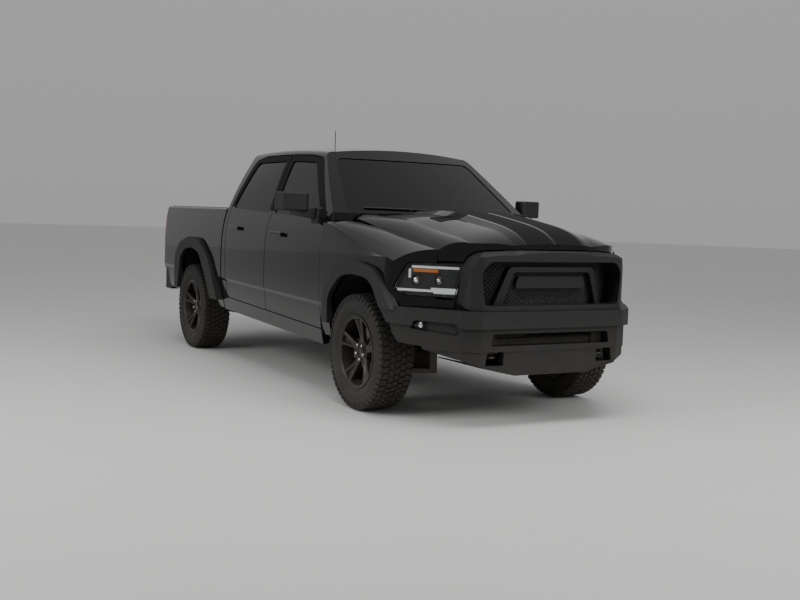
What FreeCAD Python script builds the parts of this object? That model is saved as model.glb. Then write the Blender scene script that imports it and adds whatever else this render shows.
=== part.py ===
import FreeCAD
import Part
import math
import os
from FreeCAD import Vector

# A full-size four-door pickup truck in millimetres, each of its pieces a solid of its own.
#
# The front faces -Y, the left side is at +X and +Z is up. The origin is on the ground under the middle of the
# truck's length. A place along the truck is a station: the distance behind the front axle. at_y() gives its Y.
# Panels are cut out of nested shells: an inset is how far a shell lies inside the painted surface.

# Driving dimensions
overall_length = 5817.0
wheelbase = 3569.0
front_overhang = 1015.0
body_half_width = 985.0
tyre_radius = 417.0
tyre_width = 275.0
rim_radius = 298.0
half_track = 872.0
panel_gap = 8.0
frame_gap = 15.0
door_wall = 72.0
roof_wall = 42.0
front_wall = 60.0
rear_wall = 60.0
skin = 28.0
glass_inset = 9.0
glass_thickness = 5.0

# Stations, measured back from the front axle
door_front = 652.0
door_split = 1742.0
door_rear = 2698.0
cab_rear = 2785.0
cab_gap = 24.0
bed_front = cab_rear + cab_gap
bed_rear = 1014.0 + wheelbase
tailgate_outer = 1064.0 + wheelbase
screen_base_middle = 470.0
screen_base_corner = 583.0
screen_top_middle = 1105.0
hood_rear_clearance = 68.0

# Heights
axle_z = tyre_radius
rocker_front_z = 392.0
rocker_rear_z = 462.0
sill_front_z = 514.0
sill_rear_z = 590.0
crease_front_z = 715.0
crease_rear_z = 756.0
widest_z = 905.0
belt_front_z = 1332.0
belt_rear_z = 1396.0
cab_floor_z = 690.0
floor_thickness = 40.0
bed_floor_z = 910.0
bed_rail_z = 1405.0
screen_base_z = 1402.0
screen_top_z = 1868.0

front_axle_y = front_overhang - overall_length / 2
front_end_y = -overall_length / 2
rear_end_y = overall_length / 2


def at_y(station):
    """The Y of a place given as a distance behind the front axle."""
    return front_axle_y + station


def between(value, low, high):
    """The height at a station on the straight line through two (station, height) points."""
    return low[1] + (high[1] - low[1]) * (value - low[0]) / (high[0] - low[0])


def rocker_z(station):
    return between(station, (door_front, rocker_front_z), (cab_rear, rocker_rear_z))


def sill_z(station):
    return between(station, (door_front, sill_front_z), (cab_rear, sill_rear_z))


def crease_z(station):
    return between(station, (door_front, crease_front_z), (cab_rear, crease_rear_z))


def belt_z(station):
    return between(station, (door_front, belt_front_z), (cab_rear, belt_rear_z))


# Shape helpers


def box(x, y, z):
    """A box from its low and high X, Y and Z."""
    return Part.makeBox(x[1] - x[0], y[1] - y[0], z[1] - z[0], Vector(x[0], y[0], z[0]))


def rounded(points, to_space):
    """A closed wire through (a, b) or (a, b, corner radius) points, set in space by a function of a and b."""
    count = len(points)
    flat = [Vector(p[0], p[1], 0) for p in points]
    corners = []
    for i, here in enumerate(flat):
        radius = points[i][2] if len(points[i]) > 2 else 0.0
        if radius <= 0:
            corners.append((here, None, here))
            continue
        before = (flat[i - 1] - here).normalize()
        after = (flat[(i + 1) % count] - here).normalize()
        half = before.getAngle(after) / 2
        reach = radius / math.tan(half)
        inward = (before + after).normalize()
        middle = here + inward * (radius / math.sin(half) - radius)
        corners.append((here + before * reach, middle, here + after * reach))
    edges = []
    for i, (start, middle, end) in enumerate(corners):
        start, end = to_space(start.x, start.y), to_space(end.x, end.y)
        if middle is not None:
            edges.append(Part.Arc(start, to_space(middle.x, middle.y), end).toShape())
        following = corners[(i + 1) % count][0]
        following = to_space(following.x, following.y)
        if (following - end).Length > 1e-6:
            edges.append(Part.LineSegment(end, following).toShape())
    return Part.Wire(edges)


def prism_x(points, x):
    """A (y, z) outline pushed along X from x[0] to x[1]."""
    wire = rounded(points, lambda a, b: Vector(x[0], a, b))
    return Part.Face(wire).extrude(Vector(x[1] - x[0], 0, 0))


def prism_y(points, y):
    """An (x, z) outline pushed along Y from y[0] to y[1]."""
    wire = rounded(points, lambda a, b: Vector(a, y[0], b))
    return Part.Face(wire).extrude(Vector(0, y[1] - y[0], 0))


def prism_z(points, z):
    """An (x, y) outline pushed along Z from z[0] to z[1]."""
    wire = rounded(points, lambda a, b: Vector(a, b, z[0]))
    return Part.Face(wire).extrude(Vector(0, 0, z[1] - z[0]))


def side_prism(points, x):
    """A (station, z) outline pushed along X from x[0] to x[1]."""
    return prism_x([(at_y(p[0]), *p[1:]) for p in points], x)


def rod(radius, start, end):
    """A round bar between two points."""
    start, end = Vector(*start), Vector(*end)
    return Part.makeCylinder(radius, (end - start).Length, start, end - start)


def tube(radius, points, bend):
    """A round bar along straight runs with bends of one radius."""
    vectors = [Vector(*p) for p in points]
    edges = []
    last = vectors[0]
    for before, here, after in zip(vectors, vectors[1:], vectors[2:]):
        back = (before - here).normalize()
        ahead = (after - here).normalize()
        half = back.getAngle(ahead) / 2
        reach = bend / math.tan(half)
        start = here + back * reach
        end = here + ahead * reach
        middle = here + (back + ahead).normalize() * (bend / math.sin(half) - bend)
        edges += [Part.LineSegment(last, start).toShape(), Part.Arc(start, middle, end).toShape()]
        last = end
    edges.append(Part.LineSegment(last, vectors[-1]).toShape())
    circle = Part.Wire(Part.makeCircle(radius, vectors[0], vectors[1] - vectors[0]))
    return Part.Wire(edges).makePipeShell([circle], True, True)


def turned_x(profile, y, z):
    """A solid turned about an axis along X, from (x, radius) points."""
    points = [Vector(a, y, z + r) for a, r in profile]
    return Part.Face(Part.makePolygon(points + points[:1])).revolve(Vector(0, y, z), Vector(1, 0, 0), 360)


def mirrored(shape):
    return shape.mirror(Vector(0, 0, 0), Vector(1, 0, 0))


def pair(shape):
    """The shape drawn for the left and its mirror image, as separate solids."""
    return Part.makeCompound([shape, mirrored(shape)])


def fused(shapes):
    shapes = list(shapes)
    return shapes[0].multiFuse(shapes[1:]).removeSplitter() if len(shapes) > 1 else shapes[0]


def largest(shape):
    """The biggest solid of a shape that a cut left in pieces."""
    return max(shape.Solids, key=lambda s: s.Volume)


def arc(*points):
    return Part.Arc(*(Vector(*p) for p in points)).toShape()


def line(a, b):
    return Part.LineSegment(Vector(*a), Vector(*b)).toShape()


def joined(edges):
    return Part.Wire(Part.__sortEdges__(edges))


# Side surface, shared by the front fenders, the cab and the cargo bed
tuck_in = 52.0
crease_in = 15.0
crease_lip = 3.0
crease_drop = 24.0


def side_edges(station, inset, low, top):
    """The body side's section on the left, from its (z) foot to its (x, z) top, as edges."""
    y = at_y(station)
    wide = body_half_width - inset
    crease = crease_z(station)
    foot = (wide - tuck_in, y, low)
    under = (wide - crease_in, y, crease - crease_drop)
    over = (wide - crease_lip, y, crease + crease_lip)
    high = (wide - crease_lip, y, 2 * widest_z - crease)
    bend_z = (high[2] + top[1]) / 2
    bend_x = (high[0] + top[0]) / 2 + (high[0] - top[0]) * 0.22
    return [
        arc(foot, ((foot[0] + under[0]) / 2 + 7, y, (low + under[2]) / 2), under),
        line(under, over),
        arc(over, (wide, y, widest_z), high),
        arc(high, (bend_x, y, bend_z), (top[0], y, top[1])),
    ]


# Cab shells: each row is a station, the roof rail's half width and height, and the roof's height at the middle
roof_rows = (
    (330.0, 682.0, 1806.0, 1872.0),
    (1120.0, 694.0, 1848.0, 1922.0),
    (1700.0, 702.0, 1882.0, 1970.0),
    (2250.0, 702.0, 1890.0, 1978.0),
    (2900.0, 688.0, 1876.0, 1952.0),
)
belt_in = 60.0
roof_edge_in = 84.0
roof_edge_up = 40.0
side_glass_bow = 15.0


def cab_section(row, inset, roof_inset):
    """One closed section of the cab, with its sides and its roof brought in."""
    station, rail_x, rail_z, crown_z = row
    y = at_y(station)
    low = rocker_z(station)
    belt = (body_half_width - belt_in - inset, belt_z(station))
    rail = (rail_x - roof_inset, rail_z - roof_inset * 0.4)
    edge = (rail[0] - roof_edge_in, rail[1] + roof_edge_up)
    right = side_edges(station, inset, low, belt)
    right.append(line((0, y, low), (body_half_width - inset - tuck_in, y, low)))
    bow = ((belt[0] + rail[0]) / 2 + side_glass_bow, y, (belt[1] + rail[1]) / 2)
    right.append(arc((belt[0], y, belt[1]), bow, (rail[0], y, rail[1])))
    shoulder = (rail[0] - roof_edge_in * 0.3, y, rail[1] + roof_edge_up * 0.66)
    right.append(arc((rail[0], y, rail[1]), shoulder, (edge[0], y, edge[1])))
    left = [mirrored(e) for e in right]
    crown = arc((edge[0], y, edge[1]), (0, y, crown_z - roof_inset), (-edge[0], y, edge[1]))
    return joined(right + left + [crown])


screen_slope = (screen_top_middle - screen_base_middle) / (screen_top_z - screen_base_z)
screen_half_base = 795.0
bow_half = 1100.0
bow_depth = (screen_base_corner - screen_base_middle) * (bow_half / screen_half_base) ** 2


def bow_front(y, z, forward):
    """A flat face at a height, in front of a curve that bows forward at the middle."""
    middle = Vector(0, y, z)
    ends = [Vector(bow_half, y + bow_depth, z), Vector(-bow_half, y + bow_depth, z)]
    fronts = [Vector(bow_half, y - forward, z), Vector(-bow_half, y - forward, z)]
    edges = [Part.Arc(ends[0], middle, ends[1]).toShape()]
    edges += [line(ends[1], fronts[1]), line(fronts[1], fronts[0]), line(fronts[0], ends[0])]
    return Part.Face(joined(edges))


def ahead_of_screen(inset):
    """All that lies in front of the windscreen's surface, brought back by an inset along Y."""
    foot_z = 900.0
    height = 1400.0
    foot_y = at_y(screen_base_middle) + (foot_z - screen_base_z) * screen_slope + inset
    return bow_front(foot_y, foot_z, 1600).extrude(Vector(0, height * screen_slope, height))


def ahead_of_cowl(inset, z):
    """All that lies in front of the curve of the windscreen's foot, between two heights."""
    return bow_front(at_y(screen_base_middle) + inset, z[0], 1600).extrude(Vector(0, 0, z[1] - z[0]))


cowl_half_width = 752.0
cowl_z = 1296.0
back_lean = 66.0
roof_tail_z = 1935.0


def cab_solid(inset, roof_inset, front_inset, rear_inset):
    """The whole cab as one solid, some distance inside the painted surface."""
    body = Part.makeLoft([cab_section(row, inset, roof_inset) for row in roof_rows], True, False)
    rear_y = at_y(cab_rear) - rear_inset
    front_y = at_y(door_front) + front_inset - (0 if front_inset else panel_gap / 2)
    wide = (-1200, 1200)
    keep = prism_x(
        [
            (front_y, 300),
            (rear_y, 300),
            (rear_y, belt_rear_z),
            (rear_y - back_lean, roof_tail_z),
            (rear_y - back_lean - 60, 2100),
            (front_y, 2100),
        ],
        wide,
    )
    nose = box((-cowl_half_width, cowl_half_width), (at_y(300), front_y + 1), (cowl_z, 2100))
    pillars = box(wide, (at_y(300), front_y + 1), (belt_front_z + panel_gap, 2100))
    keep = fused([keep, nose, pillars])
    body = body.common(keep)
    return body.cut(ahead_of_screen(front_inset)).cut(ahead_of_cowl(front_inset, (900, screen_base_z + 30)))


jamb_gap = 28.0
jamb_wall = 50.0
outer_cab = cab_solid(0, 0, 0, 0)
cavity = cab_solid(door_wall, roof_wall, front_wall, rear_wall)
above_floor = box((-1200, 1200), (at_y(0), at_y(3000)), (cab_floor_z, 2200))
ahead_of_cavity = box(
    (-1200, 1200),
    (at_y(300), at_y(door_front) + front_wall + 1),
    (300, belt_front_z + panel_gap),
)
side_wall_x = body_half_width - tuck_in - door_wall
door_core = cavity.fuse(ahead_of_cavity.common(cab_solid(door_wall, roof_wall, -panel_gap, rear_wall)))
jamb_core = cab_solid(door_wall + jamb_gap, roof_wall, -panel_gap, rear_wall)
door_walls = outer_cab.cut(door_core)
opening_walls = outer_cab.cut(jamb_core)

rocker_half_in = 770.0
underside = box(
    (-rocker_half_in, rocker_half_in),
    (at_y(0), at_y(3000)),
    (300, cab_floor_z - floor_thickness),
)

# Door and window outlines in the side view: station, height and corner radius
split_top = door_split + 62.0
door_head_front = 1838.0
door_head_z = 1866.0
front_door_outline = (
    (door_front, sill_z(door_front)),
    (door_front, belt_front_z - 10.0, 60.0),
    (1205.0, door_head_front, 160.0),
    (1420.0, door_head_z, 300.0),
    (split_top, door_head_z + 12.0, 12.0),
    (door_split, belt_z(door_split), 300.0),
    (door_split, sill_z(door_split), 20.0),
)
rear_door_outline = (
    (door_split + panel_gap, sill_z(door_split), 20.0),
    (door_split + panel_gap, belt_z(door_split), 300.0),
    (split_top + frame_gap, door_head_z + 12.0, 12.0),
    (2380.0, door_head_z + 12.0, 300.0),
    (2600.0, door_head_z - 22.0, 70.0),
    (door_rear + 14.0, belt_rear_z, 200.0),
    (door_rear, 1150.0, 400.0),
    (door_rear - 24.0, sill_z(door_rear), 40.0),
)
window_sill_up = 14.0
front_window_outline = (
    (770.0, belt_z(770.0) + window_sill_up, 12.0),
    (1290.0, 1806.0, 70.0),
    (split_top - 62.0, 1826.0, 26.0),
    (door_split - 52.0, belt_z(door_split) + window_sill_up, 16.0),
)
rear_window_outline = (
    (door_split + 62.0, belt_z(door_split) + window_sill_up, 16.0),
    (split_top + frame_gap + 56.0, 1828.0, 26.0),
    (2520.0, 1826.0, 80.0),
    (door_rear - 38.0, belt_rear_z + window_sill_up, 40.0),
)


def grown(outline, by):
    """An outline moved outwards all round by a distance."""
    face = Part.Face(rounded(outline, lambda a, b: Vector(a, b, 0)))
    wire = face.makeOffset2D(by, 0, False, False, False).OuterWire
    turn = FreeCAD.Matrix(0, 0, 1, 0, 1, 0, 0, front_axle_y, 0, 1, 0, 0, 0, 0, 0, 1)
    return wire.transformed(turn)


def outline_prism(outline, by, x):
    """A side outline, moved outwards by a distance and pushed across one side of the truck."""
    wire = grown(outline, by)
    wire.translate(Vector(x[0], 0, 0))
    return Part.Face(wire).extrude(Vector(x[1] - x[0], 0, 0))


left_side = (560.0, 1200.0)
door_outlines = {"front": front_door_outline, "rear": rear_door_outline}
window_outlines = {"front": front_window_outline, "rear": rear_window_outline}
glass_shell = cab_solid(glass_inset, glass_inset, 0.5, 0.5).cut(
    cab_solid(glass_inset + glass_thickness, glass_inset + glass_thickness, 1.0, 1.0)
)

nodes = {}


def door_parts(place):
    """The door panel and its glass on the left."""
    panel = door_walls.common(outline_prism(door_outlines[place], 0, left_side))
    window = outline_prism(window_outlines[place], 0, left_side)
    glass = glass_shell.common(window)
    return largest(panel.cut(window)), largest(glass)


# Door handle: a pull grip on two feet, standing off the door's skin
handle_length = 240.0
handle_height = 34.0
handle_thickness = 20.0
handle_proud = 34.0
handle_places = {"front": (1488.0, 1207.0), "rear": (2470.0, 1230.0)}


def skin_x(station, z):
    """How far out the body side lies on the left at a station and height, below the belt."""
    y = at_y(station)
    edges = side_edges(station, 0, rocker_z(station), (body_half_width - belt_in, belt_z(station)))
    probe = line((0, y, z), (1200, y, z))
    for edge in edges:
        distance, points, _ = edge.distToShape(probe)
        if distance < 1e-3:
            return points[0][0].x
    return body_half_width


def door_handle(place):
    station, z = handle_places[place]
    x = skin_x(station, z)
    y = at_y(station)
    half = handle_length / 2
    tall = handle_height / 2
    grip = box(
        (x + handle_proud - handle_thickness, x + handle_proud),
        (y - half, y + half),
        (z - tall, z + tall),
    )
    grip = grip.makeFillet(7, grip.Edges)
    feet = [
        box((x - 12, x + handle_proud - handle_thickness + 4), (y + s - 14, y + s + 14), (z - 13, z + 13))
        for s in (-half + 26, half - 26)
    ]
    return fused([grip] + feet)


door_shapes = {}
for place in ("front", "rear"):
    panel, glass = door_parts(place)
    door_shapes[place] = fused([panel, door_handle(place)])
    nodes[f"door_{place}_left"] = door_shapes[place]
    nodes[f"door_{place}_right"] = mirrored(door_shapes[place])
    nodes[f"door_glass_{place}_left"] = glass
    nodes[f"door_glass_{place}_right"] = mirrored(glass)

# Cab shell with its door openings and the holes for the windscreen and the rear window
screen_half_top = 622.0
screen_head_z = 1842.0
screen_foot_z = 1404.0
screen_outline = (
    (-screen_half_base, screen_foot_z, 50.0),
    (-screen_half_top, screen_head_z, 70.0),
    (screen_half_top, screen_head_z, 70.0),
    (screen_half_base, screen_foot_z, 50.0),
)
rear_window_half = 640.0
rear_window_foot_z = 1432.0
rear_window_head_z = 1812.0
back_outline = (
    (-rear_window_half, rear_window_foot_z, 50.0),
    (-rear_window_half + 60.0, rear_window_head_z, 60.0),
    (rear_window_half - 60.0, rear_window_head_z, 60.0),
    (rear_window_half, rear_window_foot_z, 50.0),
)
screen_hole = prism_y(screen_outline, (at_y(300), at_y(1300)))
back_hole = prism_y(back_outline, (at_y(2600), at_y(2900)))

openings = [opening_walls.common(outline_prism(o, panel_gap, left_side)) for o in door_outlines.values()]
openings += [mirrored(o) for o in openings]
cab = outer_cab.cut([cavity.common(above_floor), underside, screen_hole, back_hole] + openings)

# Posts between the doors, behind their meeting edges, inside the door line
post_half = 56.0
post_outline = (
    (door_split - post_half, cab_floor_z - 10.0),
    (door_split - post_half, belt_z(door_split)),
    (split_top - post_half + 20, 1930.0),
    (split_top + post_half, 1930.0),
    (door_split + post_half + 22, belt_z(door_split)),
    (door_split + post_half + 22, cab_floor_z - 10.0),
)
post_core = cab_solid(door_wall + jamb_gap + jamb_wall, roof_wall - 2, front_wall, rear_wall)
post = jamb_core.common(side_prism(post_outline, left_side)).cut(post_core)
cab = fused([largest(cab), largest(post), mirrored(largest(post))])

# Door hinges: upright pins on arms that reach out from the posts
hinge_z = (800.0, 1080.0)
hinge_pin_x = body_half_width - 17.0
hinge_pin_back = 52.0
hinge_pin_radius = 7.0
hinge_half_height = 26.0
hinge_pin_reach = 10.0
hinge_arm_half = 8.0
pin_clearance = 0.3
hinge_stations = {"front": door_front + hinge_pin_back, "rear": door_split + panel_gap + hinge_pin_back}


def hinge_arm(station, z):
    y = at_y(station)
    pin_low = (hinge_pin_x, y, z - hinge_half_height - hinge_pin_reach)
    pin_high = (hinge_pin_x, y, z + hinge_half_height + hinge_pin_reach)
    arm = box(
        (side_wall_x, hinge_pin_x), (y - hinge_arm_half, y + hinge_arm_half), (
            z - hinge_half_height,
            z + hinge_half_height,
        )
    )
    return fused([arm.cut(post_core), rod(hinge_pin_radius, pin_low, pin_high)])


def hinge_pocket(station, z):
    """The space in a door's front edge for its hinge arm, with the holes for the pin."""
    y = at_y(station)
    reach = hinge_half_height + hinge_pin_reach + 1
    clear = hinge_half_height + pin_clearance
    pocket = box(
        (700, hinge_pin_x + hinge_pin_radius + 1.5), (y - hinge_pin_back - 2, y + hinge_arm_half + 6), (
            z - clear,
            z + clear,
        )
    )
    hole = rod(hinge_pin_radius + pin_clearance, (hinge_pin_x, y, z - reach), (hinge_pin_x, y, z + reach))
    return pocket.fuse(hole)


arms = [hinge_arm(station, z) for station in hinge_stations.values() for z in hinge_z]
nodes["cab_shell"] = fused([cab] + arms + [mirrored(a) for a in arms])
for place, station in hinge_stations.items():
    panel = largest(nodes[f"door_{place}_left"].cut([hinge_pocket(station, z) for z in hinge_z]))
    nodes[f"door_{place}_left"] = panel
    nodes[f"door_{place}_right"] = mirrored(panel)

screen_slab = ahead_of_screen(glass_inset + glass_thickness).cut(ahead_of_screen(glass_inset))
screen_glass = screen_slab.common(screen_hole).common(outer_cab)
back_plane_y = at_y(cab_rear)
back_top_y = back_plane_y - back_lean
back_slab = prism_x(
    [
        (back_plane_y - glass_inset, belt_rear_z),
        (back_top_y - glass_inset, roof_tail_z),
        (back_top_y - glass_inset - glass_thickness, roof_tail_z),
        (back_plane_y - glass_inset - glass_thickness, belt_rear_z),
    ],
    (-1000, 1000),
)
back_glass = back_slab.common(back_hole)
nodes["fixed_glass"] = Part.makeCompound([largest(screen_glass), largest(back_glass)])

# Nose: the plan outline that the hood, lamps and fenders share, as x, y and corner radius
nose_y = front_end_y + 42.0


def nose_outline(inset, back_y):
    """The plan outline of the nose, brought in by an inset and closed at a Y behind."""
    half = [
        (body_half_width - inset, back_y),
        (body_half_width - inset, nose_y + 546 + inset * 0.4, 200),
        (800 - inset * 0.7, nose_y + 322 + inset * 0.7, 500),
        (560 - inset * 0.6, nose_y + 76 + inset * 0.8, 260),
        (330 - inset * 0.3, nose_y + inset, 500),
    ]
    return half + [(-p[0], *p[1:]) for p in reversed(half)]


# Front fender sections: station, shoulder height at the side, ridge height beside the hood
fender_rows = (
    (-1010.0, 1060.0, 1128.0),
    (-700.0, 1078.0, 1180.0),
    (-384.0, 1100.0, 1218.0),
    (-60.0, 1158.0, 1266.0),
    (311.0, 1262.0, 1322.0),
    (720.0, 1316.0, 1336.0),
)
ridge_half = 762.0
shoulder_in = 26.0
fender_foot_z = 470.0


def fender_section(row, inset):
    """A closed section through the whole front body, below the fenders' ridges."""
    station, shoulder, ridge = row
    y = at_y(station)
    top = (body_half_width - shoulder_in - inset, shoulder - inset * 0.5)
    edge = (ridge_half, ridge - inset)
    half = side_edges(station, inset, fender_foot_z, top)
    crown = ((top[0] + edge[0]) / 2, y, (top[1] + edge[1]) / 2 + 22)
    half.append(arc((top[0], y, top[1]), crown, (edge[0], y, edge[1])))
    half.append(line((0, y, fender_foot_z), (body_half_width - inset - tuck_in, y, fender_foot_z)))
    other = [mirrored(e) for e in half]
    return joined(half + other + [line((edge[0], y, edge[1]), (-edge[0], y, edge[1]))])


def front_solid(inset, nose_inset):
    loft = Part.makeLoft([fender_section(row, inset) for row in fender_rows], True, False)
    return loft.common(prism_z(nose_outline(nose_inset, at_y(door_front) - panel_gap / 2), (300, 1500)))


front_outer = front_solid(0, 0)
front_inner = front_solid(skin, skin)

# Wheel houses: outline points from the axle: station, height, corner radius
front_arch_inner = (
    (-540.0, 440.0),
    (-514.0, 742.0, 210.0),
    (-330.0, 940.0, 230.0),
    (280.0, 950.0, 240.0),
    (478.0, 742.0, 230.0),
    (494.0, 440.0),
)
rear_arch_inner = (
    (-648.0, 440.0),
    (-410.0, 775.0, 200.0),
    (-225.0, 970.0, 220.0),
    (-20.0, 1010.0, 500.0),
    (210.0, 990.0, 260.0),
    (360.0, 895.0, 150.0),
    (386.0, 760.0, 150.0),
    (452.0, 500.0),
)

# Arch flares: the edges that the wheels show through and the edges on the body
front_flare_inner = (
    (-430.0, 700.0),
    (-230.0, 950.0, 220.0),
    (20.0, 975.0, 900.0),
    (230.0, 950.0, 250.0),
    (436.0, 790.0, 170.0),
    (424.0, 540.0),
)
front_flare_outer = (
    (-582.0, 722.0),
    (-290.0, 1030.0, 260.0),
    (0.0, 1070.0, 900.0),
    (250.0, 1044.0, 300.0),
    (534.0, 820.0, 200.0),
    (514.0, 540.0),
)
rear_flare_inner = (
    (-655.0, 430.0),
    (-400.0, 775.0, 200.0),
    (-220.0, 965.0, 220.0),
    (-20.0, 1006.0, 500.0),
    (200.0, 985.0, 260.0),
    (345.0, 890.0, 150.0),
    (372.0, 760.0, 150.0),
    (430.0, 530.0),
)
rear_flare_outer = (
    (-800.0, 500.0),
    (-470.0, 945.0, 300.0),
    (-200.0, 1098.0, 320.0),
    (60.0, 1118.0, 700.0),
    (370.0, 1040.0, 250.0),
    (522.0, 890.0, 160.0),
    (505.0, 530.0),
)
flare_half_width = 1018.0
flare_inner_x = 945.0
liner_wall = 5.0
liner_out = 12.0


def arch_prism(outline, axle_station, by, x):
    """An arch outline about an axle, moved outwards and pushed across the left side."""
    return outline_prism([(p[0] + axle_station, *p[1:]) for p in outline], by, x)


front_arch_cut = arch_prism(front_arch_inner, 0, liner_out + liner_wall, (560, 1200))

# Lamp outlines in the side view and the front view
lamp_low_z = 864.0
lamp_high_z = 1098.0
lamp_low_x = 670.0
lamp_high_x = 627.0
lamp_side_outline = (
    (-1100.0, lamp_low_z - 8.0),
    (-520.0, lamp_low_z + 6.0, 30.0),
    (-454.0, 906.0, 8.0),
    (-531.0, 1080.0, 16.0),
    (-840.0, lamp_high_z, 400.0),
    (-1100.0, lamp_high_z + 6.0),
)


def lamp_edge_x(z):
    """How far out the lamp's inner edge lies at a height."""
    return between(z, (lamp_low_z, lamp_low_x), (lamp_high_z, lamp_high_x))


def lamp_front(gap):
    """The lamp's outline in the front view, grown inwards by a gap."""
    low, high = 700.0, 1250.0
    outline = [(lamp_edge_x(low) - gap, low), (lamp_edge_x(high) - gap, high), (1200, high), (1200, low)]
    return prism_y(outline, (front_end_y, at_y(0)))


lamp_outer_prism = outline_prism(lamp_side_outline, 0, (500, 1200)).common(lamp_front(0))
lamp_hole = outline_prism(lamp_side_outline, 4, (500, 1200)).common(lamp_front(4))

# Front fenders: hollow side panels, open over the wheels and behind the lamps
bumper_top_z = 790.0
under_lamp_x = 672.0
inner_front = box((-1200, ridge_half - 2), (-3500, 0), (lamp_low_z - 14, 1600))
inner_low = box((-1200, under_lamp_x), (-3500, 0), (300, lamp_low_z - 13))
fender = front_outer.cut([front_inner, inner_front, inner_low])
fender = fender.cut([front_arch_cut, lamp_hole])
ahead_of_wheel = box((400, 1300), (front_end_y - 100, front_axle_y), (300, bumper_top_z + 4))
above_belt = box((0, 1200), (at_y(500), at_y(700)), (belt_front_z, 1500))
fender = fender.cut([ahead_of_wheel, above_belt])
nodes["front_fenders"] = pair(largest(fender))

# Headlamps fill the space between the nose and a plane behind it
lamp_depth = 120.0
support_front = -812.0
support_back = -742.0
ahead_of_lamp = box((0, 1200), (front_end_y, at_y(support_front) + 3), (800, 1300))
lamp_body = front_solid(3, 3).common(lamp_outer_prism).cut(
    [front_solid(lamp_depth, lamp_depth), ahead_of_lamp],
)
nodes["headlamps"] = pair(largest(lamp_body))

# Hood sections: station, dome height, height beside the dome, height at x 600, edge height
hood_rows = (
    (-990.0, 1216.0, 1196.0, 1166.0, 1120.0),
    (-900.0, 1284.0, 1262.0, 1214.0, 1136.0),
    (-700.0, 1352.0, 1322.0, 1262.0, 1172.0),
    (-300.0, 1416.0, 1376.0, 1322.0, 1224.0),
    (150.0, 1448.0, 1412.0, 1378.0, 1300.0),
    (560.0, 1462.0, 1432.0, 1410.0, 1352.0),
)
dome_half = 262.0
dome_foot = 330.0
hood_shoulder = 600.0
hood_half_width = ridge_half - panel_gap


def hood_section(row, drop):
    station, dome, beside, shoulder, edge = (row[0], *(v - drop for v in row[1:]))
    y = at_y(station)
    points = [(dome_half, y, dome - 8), (dome_foot, y, beside), (hood_shoulder, y, shoulder)]
    low = 900.0
    half = [
        line(points[0], points[1]),
        arc(points[1], ((dome_foot + hood_shoulder) / 2, y, (beside + shoulder) / 2 + 8), points[2]),
        arc(points[2], (hood_half_width - 62, y, (shoulder + edge) / 2 + 16), (hood_half_width, y, edge)),
        line((hood_half_width, y, edge), (hood_half_width, y, low)),
        line((hood_half_width, y, low), (0, y, low)),
    ]
    crown = arc(points[0], (0, y, dome), (-dome_half, y, dome - 8))
    return joined(half + [mirrored(e) for e in half] + [crown])


def hood_solid(drop):
    return Part.makeLoft([hood_section(row, drop) for row in hood_rows], True, False)


grille_half = 668.0
grille_low_z = 792.0
grille_high_z = 1192.0
grille_front_y = front_end_y + 22
grille_back_y = at_y(support_front)
surround_outline = (
    (-grille_half, grille_low_z, 40.0),
    (-grille_half + 22, 1050.0, 240.0),
    (-grille_half + 76, grille_high_z - 18, 90.0),
    (-330.0, grille_high_z, 200.0),
    (330.0, grille_high_z, 200.0),
    (grille_half - 76, grille_high_z - 18, 90.0),
    (grille_half - 22, 1050.0, 240.0),
    (grille_half, grille_low_z, 40.0),
)
deep = (front_end_y - 50, grille_back_y)

hood_front_inset = 6.0
hood_limits = prism_z(nose_outline(hood_front_inset, at_y(700)), (1000, 1600))
hood_lip_z = lamp_high_z + 8
over_surround = [
    (x + math.copysign(panel_gap, x), z + panel_gap, radius)
    for x, z, radius in surround_outline
]
behind_lip = prism_z(nose_outline(hood_front_inset + skin, at_y(650)), (1000, 1600))
behind_cowl = box((-1200, 1200), (at_y(300), at_y(1200)), (900, 1700))
behind_cowl = behind_cowl.cut(ahead_of_cowl(-hood_rear_clearance, (900, 1700)))
hood_lip = hood_solid(skin).common(hood_limits).cut(behind_lip)
hood_lip = hood_lip.common(box((-1200, 1200), (front_end_y, at_y(-600)), (hood_lip_z, 1600)))
hood_lip = hood_lip.cut(prism_y(over_surround, (front_end_y - 50, grille_back_y + panel_gap)))
hood = hood_solid(0).cut(hood_solid(skin)).common(hood_limits).fuse(hood_lip).cut(behind_cowl)
hood_hinge_y = at_y(536)
hood_hinge_z = 1330.0
hood_pin_radius = 5.0
hood_lug_x = (690.0, 702.0)
lug_eye = 10.0
lug_length = 90.0
lug_rise = 70.0
lug = prism_x(
    [
        (hood_hinge_y - lug_length, hood_hinge_z - lug_eye, 4),
        (hood_hinge_y - lug_length, hood_hinge_z + lug_rise),
        (hood_hinge_y - lug_rise, hood_hinge_z + lug_rise),
        (hood_hinge_y + lug_eye, hood_hinge_z + lug_eye, 9.5),
        (hood_hinge_y + lug_eye, hood_hinge_z - lug_eye, 9.5),
    ],
    hood_lug_x,
)
lug = lug.cut(
    rod(
        hood_pin_radius + pin_clearance,
        (600, hood_hinge_y, hood_hinge_z),
        (800, hood_hinge_y, hood_hinge_z),
    ),
)
lug = largest(lug.common(hood_solid(3)))
nodes["hood"] = fused([largest(hood), lug, mirrored(lug)])
bracket_x = (hood_lug_x[1] + 1, hood_lug_x[1] + 13)
hood_bracket = fused(
    [
        box(bracket_x, (hood_hinge_y - 14, at_y(700)), (1300, hood_hinge_z + 14)),
        rod(
            hood_pin_radius,
            (hood_lug_x[0] - 2, hood_hinge_y, hood_hinge_z),
            (bracket_x[1], hood_hinge_y, hood_hinge_z),
        ),
    ]
)
hood_bracket = hood_bracket.cut(cavity)

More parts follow.
